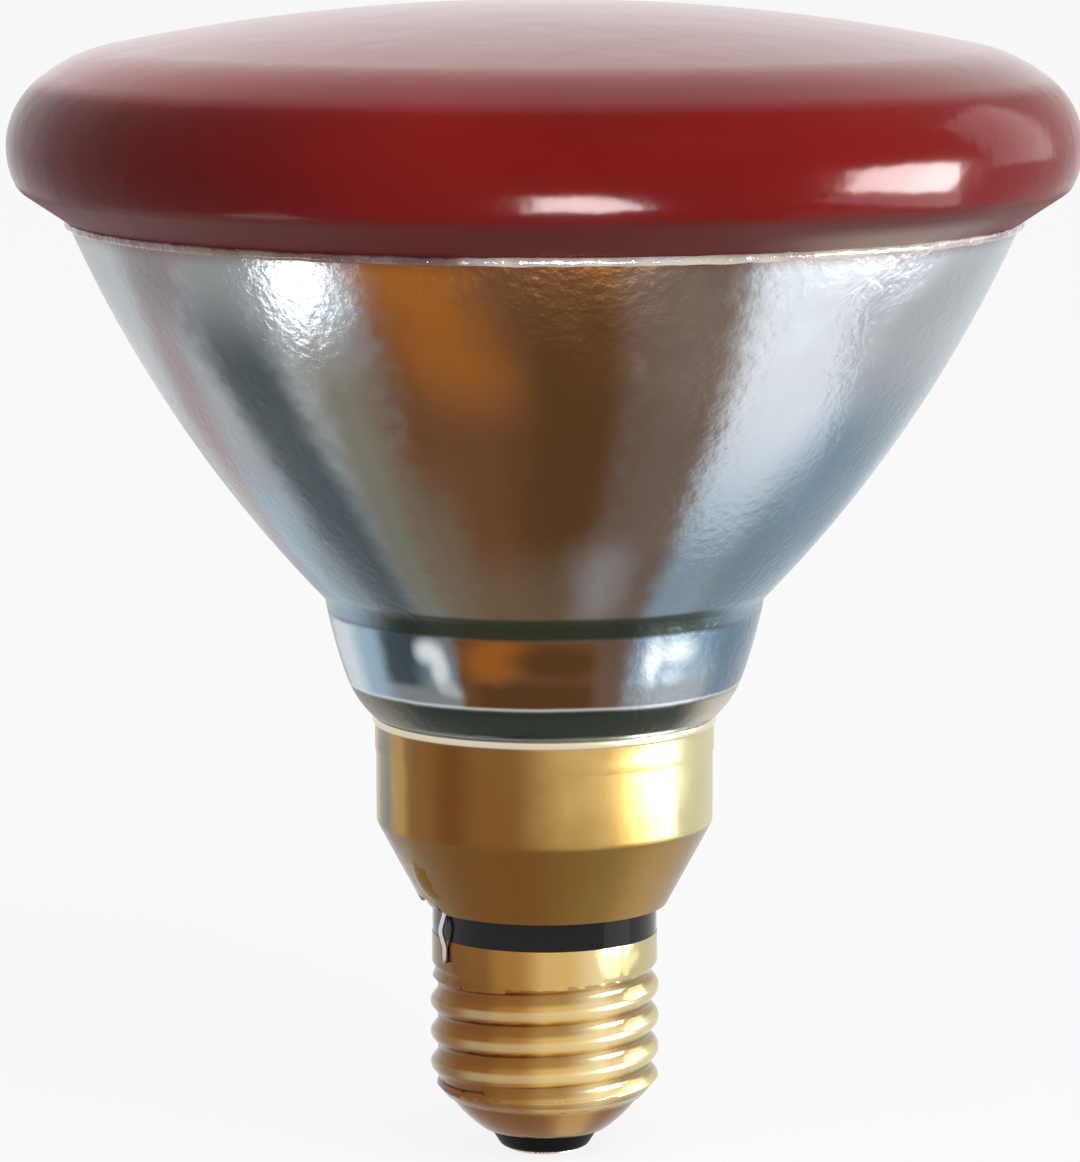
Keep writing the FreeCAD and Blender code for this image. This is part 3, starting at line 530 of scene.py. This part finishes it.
def bowl_reflection_strokes(look):
    """Painted reflections: warm and cool streaks that run up the bowl, from the left round the
    front to the back, and painted shade round its top under the lens's lip.
    """
    return [
        (band(0.0500, 0.0820, 0.0120), look.blue_grey_reflection, 0.7),
        (streak(-80.0, 8.0, 6.0, 0.085), look.silver, 0.6),
        (streak(-70.0, 5.0, 4.0, 0.072, end=0.006, Lean=500.0), look.lilac_reflection, 0.85),
        (streak(-52.0, 5.0, 5.0, 0.064, 0.101, 0.006), look.silver, 0.6),
        (streak(-56.0, 5.0, 4.0, 0.099), look.warm_grey_reflection, 0.7),
        (streak(-56.0, 6.0, 4.0, 0.060, 0.078, 0.005), look.light_blue_reflection, 0.8),
        (streak(-42.0, 6.0, 5.0, 0.088), look.warm_grey_reflection, 0.6),
        (streak(-37.0, 7.0, 4.5, 0.060, 0.100, 0.006, Lean=-170.0), look.teal_reflection, 0.92),
        (streak(-26.0, 6.5, 4.5, BOWL_FOOT, 0.098, 0.007), look.olive_reflection, 0.85),
        (streak(-5.0, 17.5, 5.0, BOWL_FOOT), look.brown_reflection, 0.97),
        (streak(-19.0, 5.0, 4.0, BOWL_FOOT, 0.082, 0.006), look.olive_reflection, 0.6),
        (streak(4.0, 8.0, 5.0, 0.066, 0.106), look.deep_brown_reflection, 0.85),
        (streak(-10.0, 6.0, 5.0, 0.092, end=0.005, Lean=-450.0), look.orange_reflection, 0.9),
        (streak(17.2, 7.5, 3.5, BOWL_FOOT), look.pink_grey_reflection, 0.92),
        (streak(-2.0, 15.0, 8.0, BOWL_FOOT, 0.073, 0.004), look.olive_reflection, 0.4),
        (spot(11.0, 0.0700, 5.0, 0.0050, 0.9), look.silver, 0.4),
        (streak(-50.0, 7.0, 6.0, BOWL_FOOT, 0.075, 0.005), look.light_teal_reflection, 0.6),
        (streak(44.0, 5.0, 5.0, 0.060, 0.082, 0.006), look.light_teal_reflection, 0.7),
        (streak(60.0, 16.0, 8.0, BOWL_FOOT, 0.090, 0.008), look.blue_grey_reflection, 0.9),
        (streak(80.0, 9.0, 6.0), look.light_blue_reflection, 0.5),
        (streak(112.0, 9.0, 8.0, BOWL_FOOT), look.pink_grey_reflection, 0.7),
        (streak(150.0, 16.0, 12.0, BOWL_FOOT), look.brown_reflection, 0.75),
        (streak(163.0, 6.0, 6.0, 0.085), look.orange_reflection, 0.5),
        (streak(-162.0, 6.0, 5.0, BOWL_FOOT), look.teal_reflection, 0.7),
        (streak(-130.0, 9.0, 8.0, BOWL_FOOT), look.olive_reflection, 0.7),
        (streak(-100.0, 6.0, 5.0, BOWL_FOOT), look.light_teal_reflection, 0.6),
        # Painted shade round the top of the bowl, under the lens's lip
        (band(0.1066, 0.12, 0.0008, 0.0006), look.brown_reflection, 0.45),
    ]


def neck_reflection_strokes(look):
    """Painted reflections and highlights on the neck, in broken tints."""
    inner = (0.0548, 0.0633, 0.0005)
    return [
        (band(NECK_FOOT, 0.0578, 0.0006), look.warm_grey_reflection, 0.6),
        (neck_streak(-60.0, 11.0, 6.0), look.light_blue_reflection, 0.9),
        (neck_streak(-68.0, 8.0, 5.0, 0.0008, 0.0550, Waver=10.0), look.white_highlight, 0.55),
        (neck_streak(-42.0, 6.0, 3.0, foot=0.0572), look.teal_reflection, 0.95),
        (spot(-32.0, 0.0614, 4.0, 0.0013, 0.7), look.white_highlight, 0.8),
        (spot(-29.0, 0.0594, 2.6, 0.0019, 0.7), look.white_highlight, 0.7),
        (spot(-25.0, 0.0572, 4.0, 0.0009, 0.6), look.silver_light, 0.7),
        (streak(-2.0, 22.0, 2.0, *inner), look.brown_reflection, 0.95),
        (streak(-2.0, 17.0, 3.0, 0.0548, 0.0583, 0.0008), look.deep_brown_reflection, 0.8),
        (spot(-13.0, 0.0610, 9.0, 0.0022, 0.6), look.orange_reflection, 0.95),
        (spot(3.0, 0.0607, 11.0, 0.0017, 0.5), look.deep_brown_reflection, 0.85),
        (streak(18.5, 4.5, 2.5, *inner), look.pink_grey_reflection, 0.9),
        (spot(29.5, 0.0602, 3.0, 0.0026, 0.7), look.white_highlight, 0.6),
        (spot(37.0, 0.0612, 6.0, 0.0014, 0.7), look.white_highlight, 0.4),
        (spot(36.0, 0.0585, 4.0, 0.0010, 0.6), look.silver_light, 0.5),
        (neck_streak(66.0, 13.0, 6.0), look.blue_grey_reflection, 0.8),
        (streak(165.0, 16.0, 4.0, *inner), look.brown_reflection, 0.8),
        (neck_streak(-150.0, 6.0, 3.0, 0.0008, 0.0552, Waver=12.0), look.white_highlight, 0.8),
        (neck_streak(110.0, 10.0, 6.0), look.light_teal_reflection, 0.7),
    ]


def dark_ring_shade_strokes(look):
    """Painted dark reflections in two rings, above and below the neck, with paler painted
    reflections at their sides and a thin painted highlight.
    """
    upper, lower = (0.0634, 0.0660, 0.0005), (0.0515, 0.0549, 0.0005)
    return [
        (band(0.0633, 0.0658, 0.0003), look.green_black_shade, 0.9),
        (band(0.0515, 0.0549, 0.0003), look.green_black_shade, 0.95),
        (band(0.0550, 0.0553, 0.0002), look.white_highlight, 0.5),
        (streak(-68.0, 17.0, 12.0, *upper), look.light_blue_reflection, 0.75),
        (streak(66.0, 14.0, 12.0, *upper), look.light_blue_reflection, 0.65),
        (streak(-60.0, 14.0, 10.0, *lower), look.olive_reflection, 0.7),
        (streak(66.0, 14.0, 10.0, *lower), look.hem_highlight, 0.6),
    ]


def silvered_glass(look):
    """Mirror silvering seen through pressed glass, with painted reflections, highlights and shade
    in streaks and bands.
    """
    material, tree, shader = new_material("silvered_glass", 0.2, 1.0)
    grain, patches = grain_and_patches(tree, 900.0, 60.0)
    silver = tree.mix(patches, tuple(look.silver), tuple(look.silver_light))
    strokes = bowl_reflection_strokes(look) + neck_reflection_strokes(look) + dark_ring_shade_strokes(look)
    colour_from(tree, shader, paint(tree, silver, strokes))
    rough_from(tree, shader, patches, 0.16, 0.3)
    relief(tree, shader, grain, 0.0002, 0.5)
    return material


def fused_glass(look):
    """The seam's melted bead, with painted glints, a painted highlight along its right side and
    painted shade in ruby on its left and back.
    """
    material, tree, shader = new_material("fused_glass", 0.12, Coat_Weight=0.5)
    grain, patches = grain_and_patches(tree, 700.0, 160.0)
    cream = tree.mix(tree.soft_step(patches, 0.4, 0.62),
                     tuple(look.seam_dark), tuple(look.seam_highlight))
    colour_from(tree, shader, paint(tree, cream, [
        # A painted highlight on the right; painted shade on the left and the back
        (streak(26.0, 36.0, 6.0, Waver=9.0), look.seam_highlight, 0.55),
        (streak(-58.0, 50.0, 5.0), look.ruby_shade_under, 0.85),
        (streak(160.0, 40.0, 10.0), look.ruby_shade_under, 0.6),
    ]))
    relief(tree, shader, grain, 0.0006, 0.8)
    return material


def brass(name, look, low, high, strokes):
    """Sheet brass between two roughnesses, with painted reflections, highlights and shade."""
    material, tree, shader = new_material(name, low, 1.0)
    grain, patches = grain_and_patches(tree, 1100.0, 70.0, 0.2)
    sheet = tree.mix(tree.soft_step(patches, 0.35, 0.7),
                     tuple(look.brass), tuple(look.brass_light))
    colour_from(tree, shader, paint(tree, sheet, strokes))
    rough_from(tree, shader, patches, low, high)
    relief(tree, shader, grain, 0.00003, 0.4)
    return material


def skirt_brass(look):
    # Painted shade and dark reflections on the left, the back and the down-facing cone; painted
    # highlights and pale reflections on the right and on the rolled top edge
    cone = (0.028, CONE_TOP, 0.001)
    return brass("skirt_brass", look, 0.16, 0.28, [
        (streak(-30.0, 28.0, 10.0), look.copper_shade, 0.85),
        (streak(-33.0, 6.0, 5.0), look.deep_copper_shade, 0.6),
        (streak(-57.5, 3.0, 2.0), look.brass, 0.9),
        (streak(-70.0, 7.0, 4.0), look.greenish_brass_reflection, 0.9),
        (streak(62.0, 20.0, 12.0), look.pale_brass_highlight, 0.85),
        (streak(110.0, 12.0, 9.0), look.brass_shade, 0.7),
        (streak(152.0, 16.0, 9.0), look.copper_shade, 0.75),
        (streak(-160.0, 8.0, 6.0), look.pale_brass_highlight, 0.6),
        (streak(-120.0, 14.0, 9.0), look.copper_shade, 0.6),
        (band(0.0, CONE_TOP, 0.0003, 0.0), look.brass_shade, 0.8),
        (streak(-16.0, 26.0, 14.0, *cone), look.copper_shade, 0.65),
        (streak(46.0, 14.0, 12.0, *cone), look.brass, 0.7),
        (band(0.0502, 0.06, 0.0002, 0.0002), look.hem_highlight, 0.85),
    ])


def shell_brass(look):
    """The screw shell's brass, with painted shade in the grooves and on the end cone, and painted
    highlights on the crests and on its lit side.
    """
    thread = {"Bottom": THREAD_FOOT, "Top": THREAD_TOP}
    groove = REACH, dict(thread, Near=0.0124, Far=0.01285)
    crest = REACH, dict(thread, Near=0.0132, Far=0.01295)
    return brass("shell_brass", look, 0.12, 0.24, [
        (streak(14.0, 26.0, 16.0), look.gold_highlight, 0.85),
        (streak(-42.0, 18.0, 10.0), look.copper_shade, 0.85),
        (streak(-16.0, 9.0, 8.0), look.bronze_reflection, 0.8),
        (streak(-74.0, 12.0, 6.0), look.greenish_brass_reflection, 0.85),
        (streak(62.0, 18.0, 12.0), look.pale_brass_highlight, 0.7),
        (streak(130.0, 18.0, 12.0), look.copper_shade, 0.6),
        (streak(-130.0, 16.0, 12.0), look.bronze_reflection, 0.6),
        # Painted shade in the grooves, painted highlights on the crests
        (groove, look.copper_shade, 0.6),
        (crest, look.bright_gold_highlight, 0.3),
        (streak(-58.0, 12.0, 8.0, Waver=12.0), look.copper_shade, 0.7),
        (streak(30.0, 10.0, 12.0, 0.0070, Waver=10.0), look.bright_gold_highlight, 0.75),
        (band(-0.01, 0.0068, 0.0008, 0.0008), look.copper_shade, 0.9),
        (streak(20.0, 12.0, 9.0, 0.0030, 0.0068, 0.0005), look.gold_highlight, 0.5),
    ])


def black_glass(look, name, roughness, gloss):
    material, tree, shader = new_material(name, roughness, Specular_IOR_Level=gloss)
    _, patches = grain_and_patches(tree, 600.0, 120.0)
    colour_from(tree, shader, tree.mix(patches, tuple(look.black), tuple(look.black_light)))
    relief(tree, shader, patches, 0.0001, 0.4)
    return material


def plain_metal(name, dark, light, low, high):
    """Untinted metal between two colours and two roughnesses."""
    material, tree, shader = new_material(name, low, 1.0)
    grain, patches = grain_and_patches(tree, 1500.0, 200.0, 0.3)
    colour_from(tree, shader, tree.mix(patches, tuple(dark), tuple(light)))
    rough_from(tree, shader, patches, low, high)
    relief(tree, shader, grain, 0.00002, 0.5)
    return material


def cement(look):
    material, tree, shader = new_material("capping_cement", 0.9)
    grain, patches = grain_and_patches(tree, 1200.0, 150.0)
    colour_from(tree, shader, tree.mix(patches, tuple(look.cement_dark), tuple(look.cement_light)))
    relief(tree, shader, grain, 0.0002, 0.8)
    return material


def clear_glass(look):
    material, tree, shader = new_material("clear_glass", 0.03, IOR=1.5, Transmission_Weight=1.0)
    _, patches = grain_and_patches(tree, 300.0, 150.0)
    colour_from(tree, shader, tree.mix(patches, tuple(look.glass_green), tuple(look.glass_clear)))
    relief(tree, shader, patches, 0.0001, 0.3)
    return material


# Settings

def length(name, description, millimetres):
    return FloatProperty(name=name, description=description, default=millimetres / 1000,
                         unit="LENGTH", precision=5)


def tone(name, description, red, green, blue):
    return FloatVectorProperty(name=name, description=description, subtype="COLOR", size=4,
                               min=0.0, max=1.0, default=colour(red, green, blue))


class LampSizes(bpy.types.PropertyGroup):
    segments: IntProperty(name="Segments", description="Facets round each turned glass",
                          default=256, min=32, max=512)
    rim_height: length("Rim height", "Height of the lens's widest point", 116.35)
    rim_curve: length("Rim curve", "Radius of the rolled rim", 9.4)
    lip_curve: length("Lip curve", "Radius of the lip below the rim", 3.0)
    shoulder_curve: length("Shoulder curve", "Radius between rim and crown", 17.5)
    dome_curve: length("Dome curve", "Radius of the crown", 246.0)
    underside_slope: FloatProperty(
        name="Underside slope", description="Slope from the seam to the lip",
        default=math.radians(33.8), subtype="ANGLE")
    seam_radius: length("Seam radius", "Radius of the seam between lens and bowl", 53.9)
    seam_height: length("Seam height", "Height of the seam", 107.95)
    bead_radius: length("Bead radius", "Radius of the fused bead on the seam", 0.62)
    bowl_curve: length("Bowl curve", "Radius of the bowl's side", 147.0)
    neck_top_radius: length("Neck top radius", "Where the bowl meets the neck", 25.15)
    neck_top_height: length("Neck top height", "Where the bowl meets the neck", 64.75)
    neck_side_curve: length("Neck side curve", "Radius of the neck's side", 60.0)
    neck_turn_radius: length("Neck turn radius", "Where the neck turns in", 22.75)
    neck_turn_height: length("Neck turn height", "Where the neck turns in", 55.7)
    neck_foot_curve: length("Neck foot curve", "Radius of the neck's foot", 11.5)
    neck_foot_radius: length("Neck foot radius", "Where the neck meets the brass skirt", 19.8)
    neck_foot_height: length("Neck foot height", "Where the neck meets the brass skirt", 51.2)
    heel_radius: length("Heel radius", "The heel inside the skirt", 18.6)
    heel_height: length("Heel height", "Underside of the heel", 40.5)
    heel_bevel: length("Heel bevel", "Bevel round the heel's underside", 1.5)


class LampColours(bpy.types.PropertyGroup):
    ruby: tone("Ruby", "Glass of the lens", 0.2, 0.0035, 0.0025)
    # The lens's thinner glass, also painted light on its rim; the tone after it is painted shade on
    # the rim
    ruby_thin_and_lit: tone("Ruby, thin", "Lens where the glass is thinner", 0.285, 0.009, 0.007)
    ruby_shaded: tone("Ruby, thick", "Lens where the glass is thicker", 0.06, 0.0015, 0.0004)
    # Painted shade under the lens's lip and on the seam's left and back
    ruby_shade_under: tone("Ruby, underside", "Dull band under the lens's lip", 0.1, 0.009, 0.008)
    silver: tone("Silver", "Silvering of the bowl", 0.32, 0.34, 0.36)
    silver_light: tone("Silver, bright", "Brightest silvering", 0.44, 0.47, 0.5)
    # Painted highlights on the neck and its rings
    white_highlight: tone("Silver, white", "Bare silver at the neck", 0.82, 0.86, 0.88)
    # This tone and the ten after it are painted reflections in the silvering and the neck
    brown_reflection: tone("Brown", "Warm streak in the silvering", 0.135, 0.05, 0.014)
    deep_brown_reflection: tone("Brown, deep", "Darkest of the warm streak", 0.085, 0.038, 0.013)
    orange_reflection: tone("Orange", "Brightest of the warm streak", 0.3, 0.1, 0.018)
    olive_reflection: tone("Olive", "Between the warm streak and the cool one", 0.16, 0.14, 0.09)
    warm_grey_reflection: tone("Warm grey", "Dull silvering", 0.19, 0.19, 0.18)
    pink_grey_reflection: tone("Pinkish grey", "Streak beside the warm one", 0.125, 0.08, 0.055)
    lilac_reflection: tone("Lilac", "Reddish edge of the silvering", 0.26, 0.17, 0.19)
    teal_reflection: tone("Teal", "Dark cool streak", 0.04, 0.06, 0.066)
    light_teal_reflection: tone("Teal, light", "Lighter cool streak", 0.12, 0.155, 0.165)
    blue_grey_reflection: tone("Blue grey", "Foot of the bowl", 0.1, 0.18, 0.25)
    light_blue_reflection: tone("Light blue", "Cool edges of the silvering", 0.3, 0.44, 0.54)
    # Painted dark reflections in the rings above and below the neck
    green_black_shade: tone("Green black", "Dark bands of thick glass at the neck", 0.02, 0.026, 0.015)
    # Painted glints and highlights on the seam and the lens's lip
    seam_highlight: tone("Seam, bright", "Bright parts of the fused seam", 0.9, 0.82, 0.74)
    seam_dark: tone("Seam, dull", "Dull parts of the fused seam", 0.35, 0.2, 0.17)
    brass: tone("Brass", "Sheet brass", 0.42, 0.25, 0.07)
    brass_light: tone("Brass, bright", "Bright sheet brass", 0.54, 0.36, 0.12)
    # Painted highlights, painted shade and a painted cool reflection on the brass
    pale_brass_highlight: tone("Brass, pale", "Palest sheet brass", 0.62, 0.59, 0.34)
    brass_shade: tone("Brass, dull", "Duller brass on the skirt's cone", 0.17, 0.095, 0.022)
    greenish_brass_reflection: tone("Brass, greenish", "Cool edge of the skirt", 0.16, 0.16, 0.11)
    # A painted reflection, then painted highlights on the shell
    bronze_reflection: tone("Bronze", "Reddish brass of the shell", 0.34, 0.14, 0.03)
    gold_highlight: tone("Gold", "Brightest brass of the shell", 0.7, 0.45, 0.15)
    bright_gold_highlight: tone("Gold, bright", "Where the shell shines most", 0.9, 0.76, 0.44)
    # A painted highlight on the skirt's rolled edge and at the foot of the neck
    hem_highlight: tone("Hem", "Pale hem of the skirt", 0.78, 0.7, 0.55)
    # Painted shade and dark reflections on the brass; the tone after it is the darkest painted
    # shade
    copper_shade: tone("Copper brown", "Heated brass", 0.175, 0.065, 0.014)
    deep_copper_shade: tone("Copper brown, deep", "Darkest heated brass", 0.13, 0.042, 0.01)
    black: tone("Black", "Black glass", 0.003, 0.003, 0.002)
    black_light: tone("Black, thin", "Black glass where it is less dense", 0.008, 0.008, 0.007)
    contact_dull: tone("Contact, dull", "Worn parts of the centre contact", 0.6, 0.5, 0.36)
    contact_bright: tone("Contact, bright", "Bright parts of the contact", 0.78, 0.7, 0.56)
    wire_dull: tone("Wire, dull", "Dull parts of the lead wires", 0.5, 0.48, 0.45)
    wire_bright: tone("Wire, bright", "Bright parts of the lead wires", 0.76, 0.74, 0.7)
    nickel_dull: tone("Ferrule, dull", "Dull parts of the ferrules", 0.3, 0.28, 0.26)
    nickel_bright: tone("Ferrule, bright", "Bright parts of the ferrules", 0.5, 0.48, 0.44)
    solder_dull: tone("Solder, dull", "Dull parts of the solder", 0.5, 0.5, 0.51)
    solder_bright: tone("Solder, bright", "Bright parts of the solder", 0.7, 0.7, 0.71)
    cement_dark: tone("Cement, dark", "Dark grains of the cement", 0.42, 0.38, 0.31)
    cement_light: tone("Cement, light", "Light grains of the cement", 0.62, 0.57, 0.48)
    glass_green: tone("Clear glass, greenish", "The exhaust tube's glass", 0.9, 0.95, 0.94)
    glass_clear: tone("Clear glass", "The exhaust tube's glass", 0.96, 0.98, 0.98)


# Pieces

class LAMP_OT_lens(bpy.types.Operator):
    """Turn the ruby lens"""
    bl_idname = "lamp.lens"
    bl_label = "Lens"

    def execute(self, context):
        sizes, look = context.scene.lamp_sizes, context.scene.lamp_colours
        piece = lathe("ruby_lens", lens_rings(sizes), sizes.segments)
        dress(piece, ruby_glass(look), "lens")
        return {"FINISHED"}


class LAMP_OT_reflector(bpy.types.Operator):
    """Turn the silvered bowl with its neck and heel"""
    bl_idname = "lamp.reflector"
    bl_label = "Reflector"

    def execute(self, context):
        sizes, look = context.scene.lamp_sizes, context.scene.lamp_colours
        piece = lathe("silvered_bowl", reflector_rings(sizes), sizes.segments)
        for node in ("side_ferrule", "centre_ferrule", "exhaust_tube"):
            drilled(piece, node)
        dress(piece, silvered_glass(look), "reflector")
        return {"FINISHED"}


class LAMP_OT_seam(bpy.types.Operator):
    """Lay the uneven bead that is fused along the seam"""
    bl_idname = "lamp.seam"
    bl_label = "Fused seam"

    def execute(self, context):
        sizes, look = context.scene.lamp_sizes, context.scene.lamp_colours
        sunk = sizes.bead_radius * BEAD_SUNK
        start_piece()
        bpy.ops.mesh.primitive_torus_add(
            major_radius=sizes.seam_radius - sunk, minor_radius=sizes.bead_radius,
            major_segments=BEAD_SEGMENTS, minor_segments=BEAD_SIDES,
            location=(0, 0, sizes.seam_height - sunk))
        piece = bpy.context.object
        piece.name = piece.data.name = "fused_seam"
        bpy.ops.object.transform_apply(location=True, rotation=True, scale=True)
        lumps = bpy.data.textures.new("seam_lumps", "CLOUDS")
        lumps.noise_scale = LUMP_SIZE
        uneven = piece.modifiers.new("uneven", "DISPLACE")
        uneven.texture, uneven.texture_coords = lumps, "LOCAL"
        uneven.strength, uneven.mid_level = sizes.bead_radius * LUMP_HEIGHT, 0.6
        bpy.ops.object.modifier_apply(modifier=uneven.name)
        bpy.ops.object.shade_smooth()
        dress(piece, fused_glass(look), "rim_seal")
        return {"FINISHED"}


class LAMP_OT_cap(bpy.types.Operator):
    """Finish the brass skirt, the screw shell and the contact"""
    bl_idname = "lamp.cap"
    bl_label = "Brass cap"

    def execute(self, context):
        look = context.scene.lamp_colours
        contact = plain_metal("contact_brass", look.contact_dull, look.contact_bright, 0.2, 0.35)
        dress(smooth_copy("brass_skirt", "skirt", 20), skirt_brass(look), "brass_skirt")
        dress(smooth_copy("screw_shell", "thread_shell", 75), shell_brass(look),
              "screw_shell")
        dress(smooth_copy("centre_contact", "contact", 30), contact, "centre_contact")
        return {"FINISHED"}


class LAMP_OT_insulators(bpy.types.Operator):
    """Finish the glossy black ring and the dull black tip"""
    bl_idname = "lamp.insulators"
    bl_label = "Black glass"

    def execute(self, context):
        look = context.scene.lamp_colours
        dress(smooth_copy("insulating_ring", "black_ring", 30),
              black_glass(look, "black_glass", 0.08, 0.22), "insulating_ring")
        dress(smooth_copy("tip_insulator", "black_tip", 30),
              black_glass(look, "black_tip_glass", 0.4, 0.05), "tip_insulator")
        return {"FINISHED"}


class LAMP_OT_inner_pieces(bpy.types.Operator):
    """Finish the leads, the seals and the cement inside the cap"""
    bl_idname = "lamp.inner_pieces"
    bl_label = "Leads and seals"

    def execute(self, context):
        look = context.scene.lamp_colours
        wire = plain_metal("tinned_wire", look.wire_dull, look.wire_bright, 0.25, 0.4)
        nickel = plain_metal("nickel_iron", look.nickel_dull, look.nickel_bright, 0.35, 0.5)
        solder = plain_metal("solder", look.solder_dull, look.solder_bright, 0.25, 0.45)
        dress(smooth_copy("side_lead", "side_wire", 40), wire, "side_lead")
        # The solids that are hidden keep their own meshes
        finishes = {
            "centre_lead": wire, "side_ferrule": nickel, "centre_ferrule": nickel,
            "contact_solder": solder, "capping_cement": cement(look),
            "exhaust_tube": clear_glass(look),
        }
        for node, material in finishes.items():
            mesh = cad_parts[node].data
            mesh.materials.clear()
            mesh.materials.append(material)
        return {"FINISHED"}


# Stage

def panel_light(name, place, size, radiance, aim=None, turn=0.0, lights=True, mirrored=True,
                tint=(1.0, 1.0, 1.0)):
    """A rectangular lamp of an even brightness, aimed at a point or, without one, straight up."""
    lamp = bpy.data.lights.new(name, "AREA")
    lamp.shape = "RECTANGLE"
    lamp.size, lamp.size_y = size
    lamp.energy = radiance * math.pi * size[0] * size[1]
    lamp.color = tint
    piece = bpy.data.objects.new(name, lamp)
    bpy.context.collection.objects.link(piece)
    piece.location = place
    if aim is None:
        piece.rotation_euler = (math.pi, 0, math.radians(turn))
    else:
        piece.rotation_euler = (Vector(aim) - Vector(place)).to_track_quat("-Z", "Y").to_euler()
    piece.visible_camera = False
    piece.visible_diffuse = lights
    piece.visible_glossy = mirrored


def background_rays(tree):
    """1 for rays that show the background: camera, glossy and transmission rays."""
    path = tree.add("LightPath").outputs
    either = tree.math("MAXIMUM", path["Is Camera Ray"], path["Is Glossy Ray"])
    return tree.math("MAXIMUM", either, path["Is Transmission Ray"])


def floor_material():
    """A matt floor that looks almost as bright as the background it runs into."""
    material = bpy.data.materials.new("pale_floor")
    material.use_nodes = True
    tree = Tree(material.node_tree)
    shader = material.node_tree.nodes["Principled BSDF"]
    shader.inputs["Base Color"].default_value = colour(0.92, 0.92, 0.92)
    shader.inputs["Roughness"].default_value = 0.9
    shader.inputs["Specular IOR Level"].default_value = 0.0
    glow = tree.add("Emission", {"Color": colour(1, 1, 1), "Strength": 1.0})
    share = tree.math("MULTIPLY", background_rays(tree), FLOOR_GLOW)
    blend = tree.add("MixShader", {0: share, 1: shader.outputs[0], 2: glow.outputs[0]})
    out = material.node_tree.nodes["Material Output"]
    tree.feed(blend.outputs[0], out.inputs["Surface"])
    return material


class LAMP_OT_stage(bpy.types.Operator):
    """Lay the floor and set the lights, the camera and the view"""
    bl_idname = "lamp.stage"
    bl_label = "Stage"

    def execute(self, context):
        scene = context.scene
        start_piece()
        bpy.ops.mesh.primitive_plane_add(size=FLOOR_SIZE, location=(0, 0, 0))
        floor = bpy.context.object
        floor.name = floor.data.name = "floor"
        floor.data.materials.append(floor_material())

        world = bpy.data.worlds.new("studio")
        scene.world = world
        world.use_nodes = True
        tree = Tree(world.node_tree)
        shader = world.node_tree.nodes["Background"]
        strength = tree.soft_step(background_rays(tree), 0.0, 1.0, AMBIENT, SHOW_THROUGH)
        tree.feed(strength, shader.inputs["Strength"])
        shader.inputs["Color"].default_value = colour(1, 1, 1)

        middle = (0, 0, 0.08)
        panel_light("key", (0.9, -1.1, 1.3), (0.9, 0.9), 3.5, middle, mirrored=False)
        panel_light("fill", (-1.2, -0.9, 0.9), (0.9, 0.9), 1.5, middle, mirrored=False)
        # Windows that only gloss and metal show
        panel_light("right_window", (0.122, -0.037, 0.003), (0.125, 0.085), 0.85, turn=-45.0,
                    lights=False)
        panel_light("far_right_window", (0.275, -0.0625, 0.003), (0.15, 0.175), 6.0, lights=False)
        panel_light("left_window", (-0.073, -0.056, 0.06), (0.024, 0.022), 4.5, lights=False,
                    tint=(0.92, 0.97, 1.0))
        panel_light("lens_window", (0.25, -0.081, 0.078), (0.13, 0.095), 65.0,
                    aim=(0.0, -0.081, 0.078), lights=False)
        panel_light("side_window", (0.31, 0.125, 0.2), (0.16, 0.22), 2.4,
                    aim=(0.05, -0.03, 0.118), lights=False)
        panel_light("front_window", (0.016, -0.152, 0.06), (0.044, 0.07), 80.0, lights=False)

        # The view that fits the photo
        lens = bpy.data.cameras.new("camera")
        lens.sensor_width = 36.0
        lens.lens = 165.0
        lens.shift_x = -0.0039
        camera = bpy.data.objects.new("camera", lens)
        bpy.context.collection.objects.link(camera)
        camera.location = (0, -0.603, 0.156)
        camera.rotation_euler = (math.radians(81.54), 0, 0)
        scene.camera = camera
        scene.view_settings.view_transform = "Standard"
        return {"FINISHED"}


OPERATORS = (LAMP_OT_lens, LAMP_OT_reflector, LAMP_OT_seam, LAMP_OT_cap, LAMP_OT_insulators,
             LAMP_OT_inner_pieces, LAMP_OT_stage)


class LAMP_PT_panel(bpy.types.Panel):
    bl_idname = "LAMP_PT_panel"
    bl_label = "Heat lamp"
    bl_space_type = "VIEW_3D"
    bl_region_type = "UI"
    bl_category = "Heat lamp"

    def draw(self, context):
        column = self.layout.column()
        for operator in OPERATORS:
            column.operator(operator.bl_idname)
        for settings in (context.scene.lamp_sizes, context.scene.lamp_colours):
            box = self.layout.box()
            for name in settings.__annotations__:
                box.prop(settings, name)


CLASSES = (LampSizes, LampColours) + OPERATORS + (LAMP_PT_panel,)


def register():
    for each in CLASSES:
        bpy.utils.register_class(each)
    bpy.types.Scene.lamp_sizes = PointerProperty(type=LampSizes)
    bpy.types.Scene.lamp_colours = PointerProperty(type=LampColours)


def unregister():
    del bpy.types.Scene.lamp_colours
    del bpy.types.Scene.lamp_sizes
    for each in reversed(CLASSES):
        bpy.utils.unregister_class(each)


def main():
    register()
    bpy.ops.lamp.lens()
    bpy.ops.lamp.reflector()
    bpy.ops.lamp.seam()
    bpy.ops.lamp.cap()
    bpy.ops.lamp.insulators()
    bpy.ops.lamp.inner_pieces()
    bpy.ops.lamp.stage()


if __name__ == "__main__":
    main()
